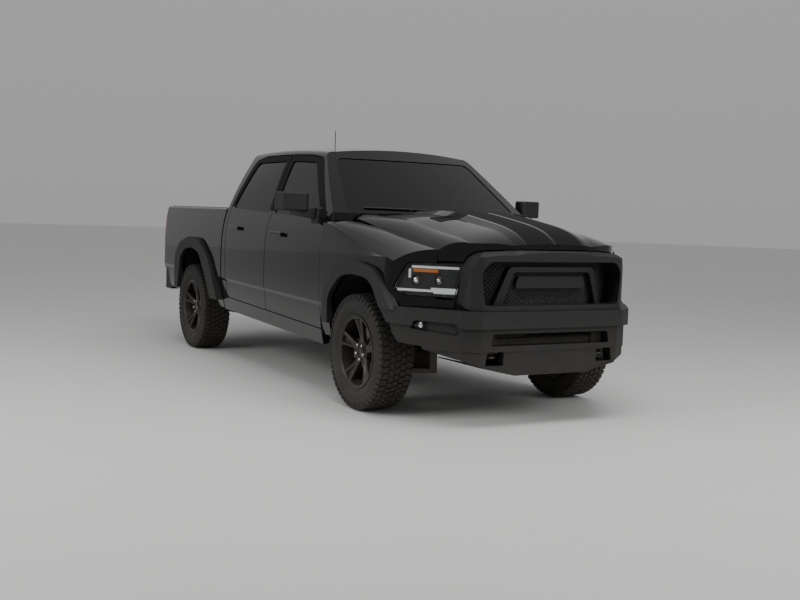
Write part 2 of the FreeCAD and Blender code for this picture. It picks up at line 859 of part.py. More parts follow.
# Cowl tray: a level panel that closes the space between the hood's rear edge and the windscreen's foot
cowl_tray = box((-cowl_half_width, cowl_half_width), (at_y(350), at_y(door_front) - 20), (cowl_z - 8, cowl_z + 2))
cowl_tray = cowl_tray.cut(ahead_of_cowl(-hood_rear_clearance - 10, (900, 1700))).cut(cavity)
cab = fused([nodes["cab_shell"], hood_bracket, mirrored(hood_bracket), cowl_tray])
nodes["cab_shell"] = largest(cab)

# Front support: a panel behind the grille that carries the lamps, the grille and the radiator
support_low_z = 640.0
support_high_z = 1100.0
low_half, high_half = (lamp_edge_x(z) - pin_clearance for z in (support_low_z, support_high_z))
support = prism_y(
    [
        (-low_half, support_low_z),
        (-high_half, support_high_z),
        (high_half, support_high_z),
        (low_half, support_low_z),
    ],
    (at_y(support_front), at_y(support_back)),
)
inside_skin = prism_z(nose_outline(skin + pin_clearance, at_y(0)), (support_low_z, support_high_z))
nodes["front_support"] = support.common(inside_skin)

# Grille: a surround with rounded shoulders, an inner ring and a plain inset bar
opening_outline = (
    (-560.0, 826.0, 30.0),
    (-588.0, 1040.0, 80.0),
    (-530.0, 1118.0, 70.0),
    (530.0, 1118.0, 70.0),
    (588.0, 1040.0, 80.0),
    (560.0, 826.0, 30.0),
)
surround_plan = (
    (-grille_half - 10, grille_back_y),
    (-648.0, grille_front_y + 72, 60.0),
    (-580.0, grille_front_y + 14, 90.0),
    (-300.0, grille_front_y, 900.0),
    (300.0, grille_front_y, 900.0),
    (580.0, grille_front_y + 14, 90.0),
    (648.0, grille_front_y + 72, 60.0),
    (grille_half + 10, grille_back_y),
)
ring_outer = (
    (-452.0, 820.0, 10.0),
    (-352.0, 1082.0, 46.0),
    (352.0, 1082.0, 46.0),
    (452.0, 820.0, 10.0),
)
ring_inner = (
    (-398.0, 820.0, 10.0),
    (-318.0, 1048.0, 34.0),
    (318.0, 1048.0, 34.0),
    (398.0, 820.0, 10.0),
)
bar_outline = (
    (-300.0, 940.0, 20.0),
    (-272.0, 1018.0, 20.0),
    (272.0, 1018.0, 20.0),
    (300.0, 940.0, 20.0),
)
nose_block = prism_z(surround_plan, (700, 1400))
hood_space = box((-grille_half, grille_half), deep, (1000, 1300)).cut(hood_solid(skin + panel_gap))
surround_block = prism_y(surround_outline, deep).cut(hood_space)
surround = surround_block.common(nose_block).cut(prism_y(opening_outline, deep))
ring_block = prism_z(nose_outline(18, at_y(0)), (700, 1400))
ring = prism_y(ring_outer, deep).cut(prism_y(ring_inner, deep)).common(ring_block)
bar_block = prism_z(nose_outline(34, at_y(0)), (700, 1400))
bar = prism_y(bar_outline, deep).common(bar_block)
grille_plate_inset = 66.0
plate_block = prism_z(nose_outline(grille_plate_inset, at_y(0)), (700, 1400))
plate = surround_block.common(plate_block)
nodes["grille"] = largest(fused([surround, ring, bar, plate]))

# Front bumper: a deep moulding round the nose, with its intake, hook openings and lamp pockets
bumper_low_z = 358.0
bumper_half = 992.0
bumper_wall = 80.0
bumper_back_y = -2226.0


def bumper_outline(inset, back_y):
    half = [
        (bumper_half - inset, back_y),
        (bumper_half - inset, front_end_y + 440 + inset * 0.35, 200),
        (700 - inset * 0.7, front_end_y + 62 + inset * 0.75, 110),
        (590 - inset * 0.5, front_end_y + 6 + inset, 60),
        (300 - inset * 0.3, front_end_y + inset, 900),
    ]
    return half + [(-p[0], *p[1:]) for p in reversed(half)]


def bumper_band(z, inset):
    back = prism_z(bumper_outline(inset + bumper_wall, bumper_back_y + 5), (z[0] - 1, z[1] + 1))
    return prism_z(bumper_outline(inset, bumper_back_y), z).cut(back)


liner_x = (545.0, 940.0)
bumper_side = box((liner_x[1] + 1, 1300), (front_end_y, bumper_back_y + 10), (300, 900))
step_z = 676.0
step_in = 34.0
upper_band = bumper_band((step_z, bumper_top_z), 6)
middle_band = bumper_band((520, step_z), step_in)
lower_band = bumper_band((bumper_low_z, 520), step_in + 6)
side_wedge = side_prism(
    [
        (-300, 300),
        (-300, 762),
        (-336, 755, 20),
        (-412, 688),
        (-464, 603, 30),
        (-536, 555, 30),
        (-694, 540),
        (-694, 300),
    ],
    (560, 1100),
)
half_under = [
    (200, bumper_low_z),
    (300, bumper_low_z, 60),
    (500, 402, 60),
    (640, 452),
    (900, 537),
    (1100, 556),
    (1100, 300),
]
other_under = [(-x, *rest) for x, *rest in reversed(half_under)]
under_bumper = prism_y(other_under + half_under, (front_end_y - 50, bumper_back_y + 10))
bumper = fused([upper_band, middle_band, lower_band]).cut([side_wedge, mirrored(side_wedge), under_bumper])
intake = prism_y(
    [(-500, 560, 14), (-480, 640, 14), (480, 640, 14), (500, 560, 14)],
    (front_end_y - 50, -2600),
)
hook_hole = prism_y(
    [(392, 428, 10), (392, 522, 14), (520, 522, 14), (536, 428, 10)],
    (front_end_y - 50, -2600),
)
pocket_depth = 52.0
lamp_pocket = prism_y(
    [(690, 622, 14), (725, 704, 20), (930, 714, 24), (905, 652, 20)],
    (front_end_y - 50, -2350),
)
lamp_pocket = lamp_pocket.cut(prism_z(bumper_outline(pocket_depth, bumper_back_y), (600, 740)))
bumper = bumper.cut([intake, hook_hole, mirrored(hook_hole), lamp_pocket, mirrored(lamp_pocket)])

# Fog lamps at the outer ends of the pockets
fog_x = 872.0
fog_z = 684.0
fog = rod(27, (fog_x, -2598, fog_z), (fog_x, -2500, fog_z))
nodes["fog_lamps"] = pair(fog)

# Skid plate: a thin plate from the bumper's chin back under the engine
skid_back_y = at_y(-420)
skid_over = [(-560, 424), (-300, bumper_low_z + 8), (300, bumper_low_z + 8), (560, 424)]
skid_under = [(x, z - 8) for x, z in reversed(skid_over)]
skid_plate = prism_y(skid_over + skid_under, (front_end_y + 40, skid_back_y))
skid_flange = box((-300, 300), (skid_back_y - 8, skid_back_y), (bumper_low_z, 430))
wheel_side = front_arch_cut.cut(bumper_side)
bumper = fused([bumper, skid_plate, skid_flange]).cut([wheel_side, mirrored(wheel_side), nodes["fog_lamps"]])
bumper = largest(bumper)
nodes["front_bumper"] = bumper

# Arch flares stand proud of the body round the arches
front_band = arch_prism(front_flare_outer, 0, 0, (flare_inner_x, flare_half_width))
front_band = front_band.cut(arch_prism(front_flare_inner, 0, 0, (800, 1200)))
rear_band = arch_prism(rear_flare_outer, wheelbase, 0, (flare_inner_x, flare_half_width))
rear_band = rear_band.cut(arch_prism(rear_flare_inner, wheelbase, 0, (800, 1200)))
front_trim = side_prism(
    [(-900, 300), (-900, 770), (-300, 770), (300, 580), (900, 580), (900, 300)],
    (800, 1200),
)
rear_trim = side_prism(
    [
        (bed_front - 300, 300),
        (bed_front - 300, 700),
        (bed_front, 700),
        (bed_front, 545),
        (3500, 545),
        (3600, 575),
        (4500, 575),
        (4500, 300),
    ],
    (800, 1200),
)
front_flare = largest(front_band.cut([front_trim, front_outer, bumper]))

# Wheel arch liners: thin covers over the wheels, closed on the inner side above the frame
rear_liner_x = (660.0, 940.0)
apron_z = 700.0


def arch_liner(outline, axle_station, x, low_z):
    outside = arch_prism(outline, axle_station, liner_out + liner_wall, x)
    inside = arch_prism(outline, axle_station, liner_out, (x[0] + liner_wall, x[1] + 1))
    foot = box((0, 1200), (at_y(axle_station - 800), at_y(axle_station + 800)), (0, low_z))
    open_side = box(
        (0, x[0] + liner_wall),
        (at_y(axle_station - 800), at_y(axle_station + 800)),
        (0, apron_z),
    )
    return largest(outside.cut(inside).cut(foot).cut(open_side))


front_liner = arch_liner(front_arch_inner, 0, liner_x, 560)
rear_liner = arch_liner(rear_arch_inner, wheelbase, rear_liner_x, 600)
nodes["arch_liners"] = Part.makeCompound([pair(front_liner), pair(rear_liner)])

# Cargo bed: hollow sides, floor, front wall and wheel housings
bed_low_front = 470.0
bed_low_rear = 565.0
bed_top = (936.0, 1372.0)
bed_rail_x = 902.0
bed_inner_half = 828.0
bed_wall = 55.0
bed_skin_in = 905.0
bed_floor_thickness = 40.0
gate_half = 764.0
gate_thickness = 72.0
gate_gap = 10.0
gate_outer_y = at_y(tailgate_outer)
gate_inner_y = gate_outer_y - gate_thickness
gate_low_z = 886.0
housing_x = 648.0
housing_up = 34.0
bed_corner_radius = 70.0


def bed_section(station, low):
    y = at_y(station)
    half = side_edges(station, 0, low, bed_top)
    corner = ((bed_top[0] + bed_rail_x) / 2 + 7, y, (bed_top[1] + bed_rail_z) / 2 + 8)
    half.append(arc((bed_top[0], y, bed_top[1]), corner, (bed_rail_x, y, bed_rail_z)))
    half.append(line((0, y, low), (body_half_width - tuck_in, y, low)))
    other = [mirrored(e) for e in half]
    return joined(half + other + [line((bed_rail_x, y, bed_rail_z), (-bed_rail_x, y, bed_rail_z))])


bed_block = Part.makeLoft(
    [bed_section(bed_front, bed_low_front), bed_section(bed_rear, bed_low_rear)],
    True,
    True,
)
bed_plan = prism_z(
    [
        (-1000, at_y(bed_front), 0),
        (1000, at_y(bed_front), 0),
        (1000 - 15, at_y(bed_rear), bed_corner_radius),
        (-1000 + 15, at_y(bed_rear), bed_corner_radius),
    ],
    (300, 1600),
)
bed_block = bed_block.common(bed_plan)
bed_far_y = at_y(bed_rear) + 100
hollow = box((-bed_inner_half, bed_inner_half), (at_y(bed_front) + bed_wall, bed_far_y), (bed_floor_z, 1600))
housing = arch_prism(rear_arch_inner, wheelbase, housing_up, (housing_x, bed_inner_half + 10))
hollow = hollow.cut(housing).cut(mirrored(housing))
below_bed = box(
    (-bed_skin_in, bed_skin_in), (at_y(bed_front) - 1, bed_far_y), (300, bed_floor_z - bed_floor_thickness)
)
gate_space = box(
    (-gate_half - panel_gap, gate_half + panel_gap),
    (gate_inner_y - gate_gap, bed_far_y),
    (800, 1600),
)
wheel_space = arch_prism(rear_arch_inner, wheelbase, liner_out + liner_wall, (rear_liner_x[0], 1200))
bed = bed_block.cut([hollow, below_bed, gate_space, wheel_space, mirrored(wheel_space)])

rear_bumper_z = (520.0, 738.0)
rear_bumper_front_y = 2548.0
bumper_space = box(
    (-1100, 1100),
    (rear_bumper_front_y - panel_gap, bed_far_y),
    (300, rear_bumper_z[1] + panel_gap),
)
bed = bed.cut(bumper_space)

# Tail lamps: upright lamps let into the rear corners
tail_lamp_z = (843.0, 1254.0)
tail_lamp_depth = 58.0
tail_lamp_inner_x = 842.0
lamp_slot = box(
    (tail_lamp_inner_x, 1100), (at_y(bed_rear) - tail_lamp_depth, at_y(bed_rear) + 10), tail_lamp_z
)
tail_lamp = largest(bed_block.common(lamp_slot))
nodes["tail_lamps"] = pair(tail_lamp)
rear_flare = largest(rear_band.cut([rear_trim, bed_block]))
nodes["arch_flares"] = Part.makeCompound([pair(front_flare), pair(rear_flare)])
bed = bed.cut(lamp_slot).cut(mirrored(lamp_slot))
rib_stations = (2900.0, 3250.0, 3900.0, 4350.0)
rib_low_z = bed_floor_z - bed_floor_thickness - 45
ribs = [
    box((-600, 600), (at_y(s) - 40, at_y(s) + 40), (rib_low_z, bed_floor_z - bed_floor_thickness))
    for s in rib_stations
]

# Tailgate, hinged along its lower edge
gate_outline = (
    (-gate_half, gate_low_z, 12.0),
    (-gate_half, bed_rail_z, 24.0),
    (gate_half, bed_rail_z, 24.0),
    (gate_half, gate_low_z, 12.0),
)
gate = prism_y(gate_outline, (gate_inner_y, gate_outer_y))
gate_hinge_z = 904.0
gate_hinge_y = gate_outer_y - 40
gate_pin_radius = 11.0
gate_pin_length = 22.0
gate_pin_hole = rod(
    gate_pin_radius + pin_clearance,
    (gate_half - gate_pin_length - 1, gate_hinge_y, gate_hinge_z),
    (gate_half + 1, gate_hinge_y, gate_hinge_z),
)
gate = gate.cut(gate_pin_hole).cut(mirrored(gate_pin_hole))
gate_lip = box((-gate_half + 40, gate_half - 40), (gate_outer_y - 5, gate_outer_y + 14), (1368, 1396))
nodes["tailgate"] = fused([gate, gate_lip.makeFillet(6, gate_lip.Edges)])
gate_pin = rod(
    gate_pin_radius,
    (gate_half - gate_pin_length, gate_hinge_y, gate_hinge_z),
    (gate_half + panel_gap + 12, gate_hinge_y, gate_hinge_z),
)
gate_ear = box(
    (gate_half + panel_gap, gate_half + panel_gap + 20), (at_y(bed_rear) - 40, gate_hinge_y + 18), (
        gate_hinge_z - 22,
        gate_hinge_z + 22,
    )
)
bed_pieces = [largest(bed)] + ribs + [gate_pin, gate_ear, mirrored(gate_pin), mirrored(gate_ear)]
nodes["cargo_bed"] = largest(fused(bed_pieces))

# Frame: two rails that rise over the axles, their cross members and the risers under the cab and the bed
rail_in = 400.0
rail_out = 480.0
rail_end = 4650.0
rail_rows = (
    (-900.0, 560.0, 130.0),
    (350.0, 560.0, 150.0),
    (760.0, 500.0, 150.0),
    (2600.0, 520.0, 150.0),
    (3100.0, 660.0, 140.0),
    (3800.0, 680.0, 130.0),
    (4250.0, 610.0, 120.0),
    (rail_end, 600.0, 120.0),
)


def rail_level(station):
    """The rail's middle height and its depth at a station."""
    for low, high in zip(rail_rows, rail_rows[1:]):
        if low[0] <= station <= high[0]:
            break
    return tuple(between(station, (low[0], low[k]), (high[0], high[k])) for k in (1, 2))


tops = [(s, mid + depth / 2, 60.0) for s, mid, depth in rail_rows]
bottoms = [(s, mid - depth / 2, 60.0) for s, mid, depth in reversed(rail_rows)]
tops[0], tops[-1], bottoms[0], bottoms[-1] = (p[:2] for p in (tops[0], tops[-1], bottoms[0], bottoms[-1]))
rail = side_prism(tops + bottoms, (rail_in, rail_out))
cross_rows = (
    (-840.0, 525.0, 595.0),
    (640.0, 442.0, 472.0),
    (1360.0, 436.0, 472.0),
    (2350.0, 550.0, 588.0),
    (2960.0, 600.0, 650.0),
    (4150.0, 645.0, 682.0),
    (4500.0, 640.0, 662.0),
)
frame_parts = [rail, mirrored(rail)]
for station, low, high in cross_rows:
    y = at_y(station)
    frame_parts.append(box((-rail_in - 1, rail_in + 1), (y - 45, y + 45), (low, high)))
under_cab_z = cab_floor_z - floor_thickness
under_bed_z = rib_low_z
cab_mount_stations = (900.0, 1700.0, 2600.0)
for station, top in [(s, under_cab_z) for s in cab_mount_stations] + [(s, under_bed_z) for s in rib_stations]:
    mid, depth = rail_level(station)
    y = at_y(station)
    riser = box((rail_in + 10, rail_out - 10), (y - 38, y + 38), (mid, top))
    frame_parts += [riser, mirrored(riser)]
support_mount = box(
    (rail_in + 10, rail_out - 10),
    (at_y(support_front), at_y(support_back)),
    (560, support_low_z),
)
frame_parts += [support_mount, mirrored(support_mount)]
nodes["chassis_frame"] = largest(fused(frame_parts).cut(bumper))

# Engine and gearbox: plain blocks on the frame
engine = box((-310, 310), (at_y(-430), at_y(420)), (560, 1130))
engine_mounts = box((-rail_in, rail_in), (at_y(-90), at_y(90)), (575, 640))
gearbox = box((-190, 190), (at_y(400), at_y(1330)), (472, 640))
nodes["engine_and_gearbox"] = fused([engine, engine_mounts, gearbox])

# Wheels: columns are distance out from the wheel's middle plane and radius
bead_x = 110.0
tyre_half = tyre_width / 2
bead_height = 8.0
tyre_profile = (
    (-bead_x, rim_radius),
    (-bead_x, rim_radius + bead_height),
    (-tyre_half + 4, rim_radius + 34),
    (-tyre_half, rim_radius + 62),
    (-tyre_half + 5, tyre_radius - 22),
    (-tyre_half + 26, tyre_radius - 4),
    (0.0, tyre_radius),
    (tyre_half - 26, tyre_radius - 4),
    (tyre_half - 5, tyre_radius - 22),
    (tyre_half, rim_radius + 62),
    (tyre_half - 4, rim_radius + 34),
    (bead_x, rim_radius + bead_height),
    (bead_x, rim_radius),
)
lip_thickness = 8.0
rim_profile = (
    (-bead_x - lip_thickness, rim_radius + 6),
    (-bead_x, rim_radius + 6),
    (-bead_x, rim_radius),
    (bead_x, rim_radius),
    (bead_x, rim_radius + 6),
    (bead_x + lip_thickness, rim_radius + 6),
    (bead_x + lip_thickness, rim_radius - 12),
    (bead_x - 30, rim_radius - 18),
    (-bead_x + 20, rim_radius - 22),
    (-bead_x - lip_thickness, rim_radius - 12),
)
spoke_count = 5
hub_radius = 84.0
hub_face = 66.0
disc_radius = 178.0
disc_x = (-34.0, -6.0)
hub_gap = 0.3


def wheel_shape():
    """Rim, spokes, hub and brake disc about the X axis, with the outer face at +X."""
    rim = turned_x(rim_profile, 0, 0)
    hub = turned_x(
        [(disc_x[0], 0), (disc_x[0], hub_radius), (hub_face, hub_radius), (hub_face + 8, 60), (hub_face, 0)],
        0,
        0,
    )
    disc = turned_x(
        [(disc_x[0], 0), (disc_x[0], disc_radius), (disc_x[1], disc_radius), (disc_x[1], 0)],
        0,
        0,
    )
    reach = rim_radius - 8
    side = prism_y(
        [(28, 60), (hub_face, 60), (bead_x + 2, reach - 20, 40), (bead_x + 2, reach), (bead_x - 44, reach)],
        (-70, 70),
    )
    front = prism_x([(-40, 50), (-58, reach + 5), (58, reach + 5), (40, 50)], (0, 200))
    groove = prism_x([(-9, 120), (-26, reach - 34), (26, reach - 34), (9, 120)], (0, 200))
    ledge = prism_y(
        [(20, 50), (hub_face - 22, 60), (bead_x - 24, reach - 30), (bead_x - 24, 400), (200, 400), (200, 50)],
        (-70, 70),
    )
    spoke = side.common(front).cut(groove.common(ledge))
    spokes = []
    for i in range(spoke_count):
        turned = spoke.copy()
        turned.rotate(Vector(0, 0, 0), Vector(1, 0, 0), 360 * i / spoke_count)
        spokes.append(turned)
    return fused([rim, hub, disc] + spokes)


wheel = wheel_shape()
tyre = turned_x(list(tyre_profile), 0, 0)
axle_stations = {"front": 0.0, "rear": wheelbase}


def moved(shape, x, y, z):
    copy = shape.copy()
    copy.translate(Vector(x, y, z))
    return copy


for place, station in axle_stations.items():
    for name, shape in (("wheel", wheel), ("tyre", tyre)):
        left = moved(shape, half_track, at_y(station), axle_z)
        nodes[f"{name}_{place}_left"] = left
        nodes[f"{name}_{place}_right"] = mirrored(left)

# Steering knuckles: an upright between two ball joints, the hub carrier and the brake caliper
kingpin_x = 770.0
knuckle_z = (300.0, 585.0)
carrier_end_x = half_track + disc_x[0] - hub_gap
axle_y = at_y(0)
kingpin_radius = 34.0
upright = rod(kingpin_radius, (kingpin_x, axle_y, knuckle_z[0]), (kingpin_x, axle_y, knuckle_z[1]))
carrier = rod(62, (kingpin_x, axle_y, axle_z), (carrier_end_x, axle_y, axle_z))


def caliper(y, x_in, toward):
    """A brake caliper that straddles a disc, with an arm in to what carries it."""
    disc = (half_track + disc_x[0], half_track + disc_x[1])
    far = y + toward * (disc_radius + 26)
    near = y + toward * (disc_radius - 70)
    spread = (min(far, near), max(far, near))
    body = box((disc[0] - 34, disc[1] + 30), spread, (axle_z - 72, axle_z + 72))
    slot_far = y + toward * (disc_radius + 6)
    slot = (min(slot_far, near), max(slot_far, near))
    body = body.cut(box((disc[0] - 4, disc[1] + 4), (slot[0] - 1, slot[1] + 1), (axle_z - 90, axle_z + 90)))
    arm_end = y + toward * (disc_radius - 10)
    arm_y = (min(y, arm_end), max(y, arm_end))
    return body, box((x_in, disc[0] - 6), arm_y, (axle_z - 24, axle_z + 24))


body, arm = caliper(axle_y, kingpin_x - 10, 1)
knuckle = fused([upright, carrier, body, arm])
nodes["knuckle_left"] = knuckle
nodes["knuckle_right"] = mirrored(knuckle)

# Front suspension: lower and upper arms with their coil struts
arm_thickness = 34.0
arm_gap = 0.3


def suspension_arm(z, half_span):
    plan = [
        (rail_out, axle_y - half_span),
        (kingpin_x + 20, axle_y - 36, 20),
        (kingpin_x + 20, axle_y + 36, 20),
        (rail_out, axle_y + half_span),
        (rail_out, axle_y + half_span - 60, 20),
        (kingpin_x - 60, axle_y, 30),
        (rail_out, axle_y - half_span + 60, 20),
    ]
    return prism_z(plan, z)


lower_z = (knuckle_z[0] - arm_gap - arm_thickness, knuckle_z[0] - arm_gap)
upper_z = (knuckle_z[1] + arm_gap, knuckle_z[1] + arm_gap + 22)
lower_arm = suspension_arm(lower_z, 190)
shaft_hole = rod(30, (rail_in, axle_y, axle_z), (kingpin_x, axle_y, axle_z))
lower_post = box((rail_out - 60, rail_out), (axle_y - 190, axle_y + 190), (lower_z[0], 486)).cut(shaft_hole)
upper_arm = suspension_arm(upper_z, 190)
strut_x = 600.0
fork_top_z = 480.0
fork = box((strut_x - 40, strut_x + 40), (axle_y - 92, axle_y + 92), (lower_z[1] - 10, fork_top_z))
fork = fork.cut(box((0, 1000), (axle_y - 64, axle_y + 64), (0, fork_top_z - 36)))
strut_rod = rod(50, (strut_x, axle_y, fork_top_z - 10), (strut_x, axle_y, 660))
strut_cap = rod(62, (strut_x, axle_y, 655), (strut_x, axle_y, 678))
strut_bracket = box((rail_in + 20, strut_x + 60), (axle_y - 60, axle_y + 60), (675, 690))
strut_post = box((rail_in + 20, rail_out), (axle_y - 60, axle_y + 60), (630, 690))
suspension = fused([lower_arm, lower_post, upper_arm, fork, strut_rod, strut_cap, strut_bracket, strut_post])
nodes["front_suspension"] = pair(suspension.cut(nodes["chassis_frame"]))

# Rear axle with its differential and brakes, and the leaf springs that carry it
rear_y = at_y(wheelbase)
axle_tube = rod(48, (-carrier_end_x, rear_y, axle_z), (carrier_end_x, rear_y, axle_z))
diff = turned_x([(-130, 0), (-130, 70), (-70, 140), (70, 140), (130, 70), (130, 0)], rear_y, axle_z)
nose = rod(66, (0, rear_y - 230, axle_z + 10), (0, rear_y, axle_z + 10))
body, arm = caliper(rear_y, 700, 1)
rear_brakes = [body, arm, mirrored(body), mirrored(arm)]
nodes["rear_axle"] = fused([axle_tube, diff, nose] + rear_brakes)

spring_x = (525.0, 590.0)
spring_half = 660.0
spring_seat_z = axle_z + 48
spring_rise = 90.0
leaf = 30.0
middle = Vector(spring_x[0], rear_y, spring_seat_z)
ends = [Vector(spring_x[0], rear_y + s * spring_half, spring_seat_z + spring_rise) for s in (-1, 1)]
up = Vector(0, 0, leaf)
leaf_edges = [
    Part.Arc(ends[0], middle, ends[1]).toShape(),
    line(ends[1], ends[1] + up),
    Part.Arc(ends[1] + up, middle + up, ends[0] + up).toShape(),
    line(ends[0] + up, ends[0]),
]
spring = Part.Face(Part.Wire(leaf_edges)).extrude(Vector(spring_x[1] - spring_x[0], 0, 0))
hangers = []
for s in (-1, 1):
    y = rear_y + s * spring_half
    z = spring_seat_z + spring_rise
    hangers.append(box((rail_out, spring_x[1]), (y - 20, y + 20), (z, z + 75)))
nodes["rear_springs"] = pair(fused([spring] + hangers))

# Drive shafts: the long shaft to the rear axle, and the front axle's housing with its half shafts
prop = largest(rod(48, (0, at_y(1334), 540), (0, rear_y - 220, axle_z + 10)).cut(nodes["rear_axle"]))
front_diff = box((-110, 110), (axle_y - 90, axle_y + 90), (340, 500))
round_kingpin = rod(
    kingpin_radius + hub_gap,
    (kingpin_x, axle_y, knuckle_z[0]),
    (kingpin_x, axle_y, knuckle_z[1]),
)
half_shafts = rod(20, (-kingpin_x, axle_y, axle_z), (kingpin_x, axle_y, axle_z))
half_shafts = largest(half_shafts.cut([round_kingpin, mirrored(round_kingpin)]))
diff_bracket = box((-rail_in, rail_in), (axle_y - 150, axle_y - 90), (490, 540))
front_drive = fused(
    [front_diff, half_shafts, diff_bracket.fuse(box((-90, 90), (axle_y - 100, axle_y), (450, 500)))],
)
nodes["drive_shafts"] = Part.makeCompound([prop, front_drive])

# Exhaust: a pipe from the gearbox to a silencer and out behind the right rear wheel
pipe_radius = 34.0
pipe_bend = 90.0
pipe_route = (
    (-120, at_y(1200), 398),
    (-260, at_y(1700), 402),
    (-260, at_y(3000), 420),
    (-300, at_y(3250), 590),
    (-330, at_y(3800), 600),
    (-330, at_y(4440), 600),
    (-380, at_y(4560), 404),
    (-620, at_y(4700), 404),
    (-650, at_y(4790), 404),
)
pipe = tube(pipe_radius, pipe_route, pipe_bend)
silencer = box((-370, -150), (at_y(2150), at_y(2800)), (360, 480))
pipe_hanger = box((-rail_in, -230), (at_y(2400) - 20, at_y(2400) + 20), (460, 500))
silencer = silencer.makeFillet(40, silencer.Edges)
nodes["exhaust"] = fused([pipe, silencer, pipe_hanger.cut(nodes["chassis_frame"])])

# Fuel tank, hung on the left rail
tank = box((rail_out, 740), (at_y(1500), at_y(2750)), (400, 610))
nodes["fuel_tank"] = tank.makeFillet(30, tank.Edges).cut(rail)

# Spare wheel below the bed
spare_station = 4144.0
spare_z = 425.0
spare = tyre.fuse(turned_x(((-60, 0), (-60, rim_radius), (60, rim_radius), (60, 0)), 0, 0))
spare.rotate(Vector(0, 0, 0), Vector(0, 1, 0), 90)
spare.translate(Vector(0, at_y(spare_station), spare_z))
carrier_rod = rod(20, (0, at_y(4150), spare_z + 50), (0, at_y(4150), 645))
nodes["spare_wheel"] = spare.fuse(carrier_rod)

# Rear bumper: a stepped beam across the tail on two brackets
rear_bumper_half = 928.0
rear_plan = [
    (-rear_bumper_half, rear_bumper_front_y),
    (-rear_bumper_half, rear_end_y - 110, 110),
    (-rear_bumper_half + 190, rear_end_y, 200),
    (rear_bumper_half - 190, rear_end_y, 200),
    (rear_bumper_half, rear_end_y - 110, 110),
    (rear_bumper_half, rear_bumper_front_y),
]
beam = prism_z(rear_plan, rear_bumper_z)
behind_beam = box((-rear_bumper_half + 70, rear_bumper_half - 70), (2400, gate_outer_y + 20), (500, 800))
bracket = box((rail_in, rail_out), (at_y(rail_end), gate_outer_y + 30), (560, 640))
nodes["rear_bumper"] = fused([beam.cut(behind_beam), bracket, mirrored(bracket)])

# Trailer hitch: a square receiver under the bumper, cross-drilled for its pin
receiver_bore = 50.8
receiver_wall = 6.5
receiver_z = 480.0
receiver_end_y = 2890.0
receiver_front_y = 2690.0
hitch_pin_bore = 16.0
half_tube = receiver_bore / 2 + receiver_wall
receiver = box(
    (-half_tube, half_tube),
    (receiver_front_y, receiver_end_y),
    (receiver_z - half_tube, receiver_z + half_tube),
)
hitch_bar = box(
    (-rail_out, rail_out),
    (receiver_front_y, receiver_front_y + 60),
    (receiver_z - 30, receiver_z + 30),
)
hitch_hanger = box((rail_in, rail_out), (receiver_front_y, receiver_front_y + 60), (receiver_z, 541))
half_bore = receiver_bore / 2
bore = box(
    (-half_bore, half_bore),
    (receiver_front_y + 70, receiver_end_y + 1),
    (receiver_z - half_bore, receiver_z + half_bore),
)
pin_y = receiver_end_y - 70
pin_bore = rod(hitch_pin_bore / 2, (-half_tube - 1, pin_y, receiver_z), (half_tube + 1, pin_y, receiver_z))
hitch = fused([receiver, hitch_bar, hitch_hanger, mirrored(hitch_hanger)]).cut(bore).cut(pin_bore)
nodes["trailer_hitch"] = hitch.cut(nodes["chassis_frame"])

# Tow hooks: bent bars on the ends of the rails
hook_x = 455.0
hook_z = 478.0
hook_y = front_end_y + 90
hook_reach = 230.0
hook_route = (
    (hook_x - 30, hook_y + hook_reach, hook_z),
    (hook_x - 30, hook_y, hook_z),
    (hook_x + 30, hook_y, hook_z),
    (hook_x + 30, hook_y + hook_reach, hook_z),
)
hook_root = box((hook_x - 45, hook_x + 45), (at_y(-890), hook_y + hook_reach + 10), (462, 495))
hook = fused([tube(11, hook_route, 24), hook_root])
nodes["tow_hooks"] = pair(hook.cut(nodes["chassis_frame"]))

# Front seats: cushion, back and headrest on a plinth
seat_x = (130.0, 640.0)
seat_cushion = (
    (1230.0, 900.0, 40.0),
    (1240.0, 1030.0, 50.0),
    (1700.0, 990.0, 40.0),
    (1720.0, 890.0, 30.0),
)
seat_back = (
    (1660.0, 930.0, 30.0),
    (1780.0, 1520.0, 50.0),
    (1870.0, 1520.0, 40.0),
    (1800.0, 930.0, 40.0),
)
headrest = (
    (1800.0, 1535.0, 30.0),
    (1815.0, 1690.0, 40.0),
    (1885.0, 1690.0, 30.0),
    (1880.0, 1535.0, 20.0),
)
plinth = (
    (1300.0, cab_floor_z),
    (1300.0, 900.0),
    (1680.0, 900.0),
    (1680.0, cab_floor_z),
)
middle_x = sum(seat_x) / 2
front_seat = fused(
    [
        side_prism(seat_cushion, seat_x),
        side_prism(seat_back, seat_x),
        side_prism(headrest, (middle_x - 140, middle_x + 140)),
        side_prism([(1830, 1500), (1830, 1560), (1850, 1560), (1850, 1500)], (middle_x - 70, middle_x + 70)),
        side_prism(plinth, (seat_x[0] + 50, seat_x[1] - 50)),
    ]
)
nodes["front_seats"] = pair(front_seat)

# Rear bench across the cab
bench_half = 690.0
bench_cushion = (
    (2060.0, cab_floor_z),
    (2060.0, 1010.0, 60.0),
    (2520.0, 980.0, 40.0),
    (2560.0, cab_floor_z),
)
bench_back = (
    (2480.0, 900.0, 30.0),
    (2570.0, 1500.0, 50.0),
    (2650.0, 1500.0, 30.0),
    (2640.0, 900.0, 30.0),
)
bench_rests = [
    side_prism([(2570, 1490, 0), (2580, 1640, 30), (2640, 1640, 30), (2640, 1490, 0)], (x - 120, x + 120))
    for x in (-430, 430)
]
bench = [
    side_prism(bench_cushion, (-bench_half, bench_half)),
    side_prism(bench_back, (-bench_half, bench_half)),
]
nodes["rear_seat"] = fused(bench + bench_rests)

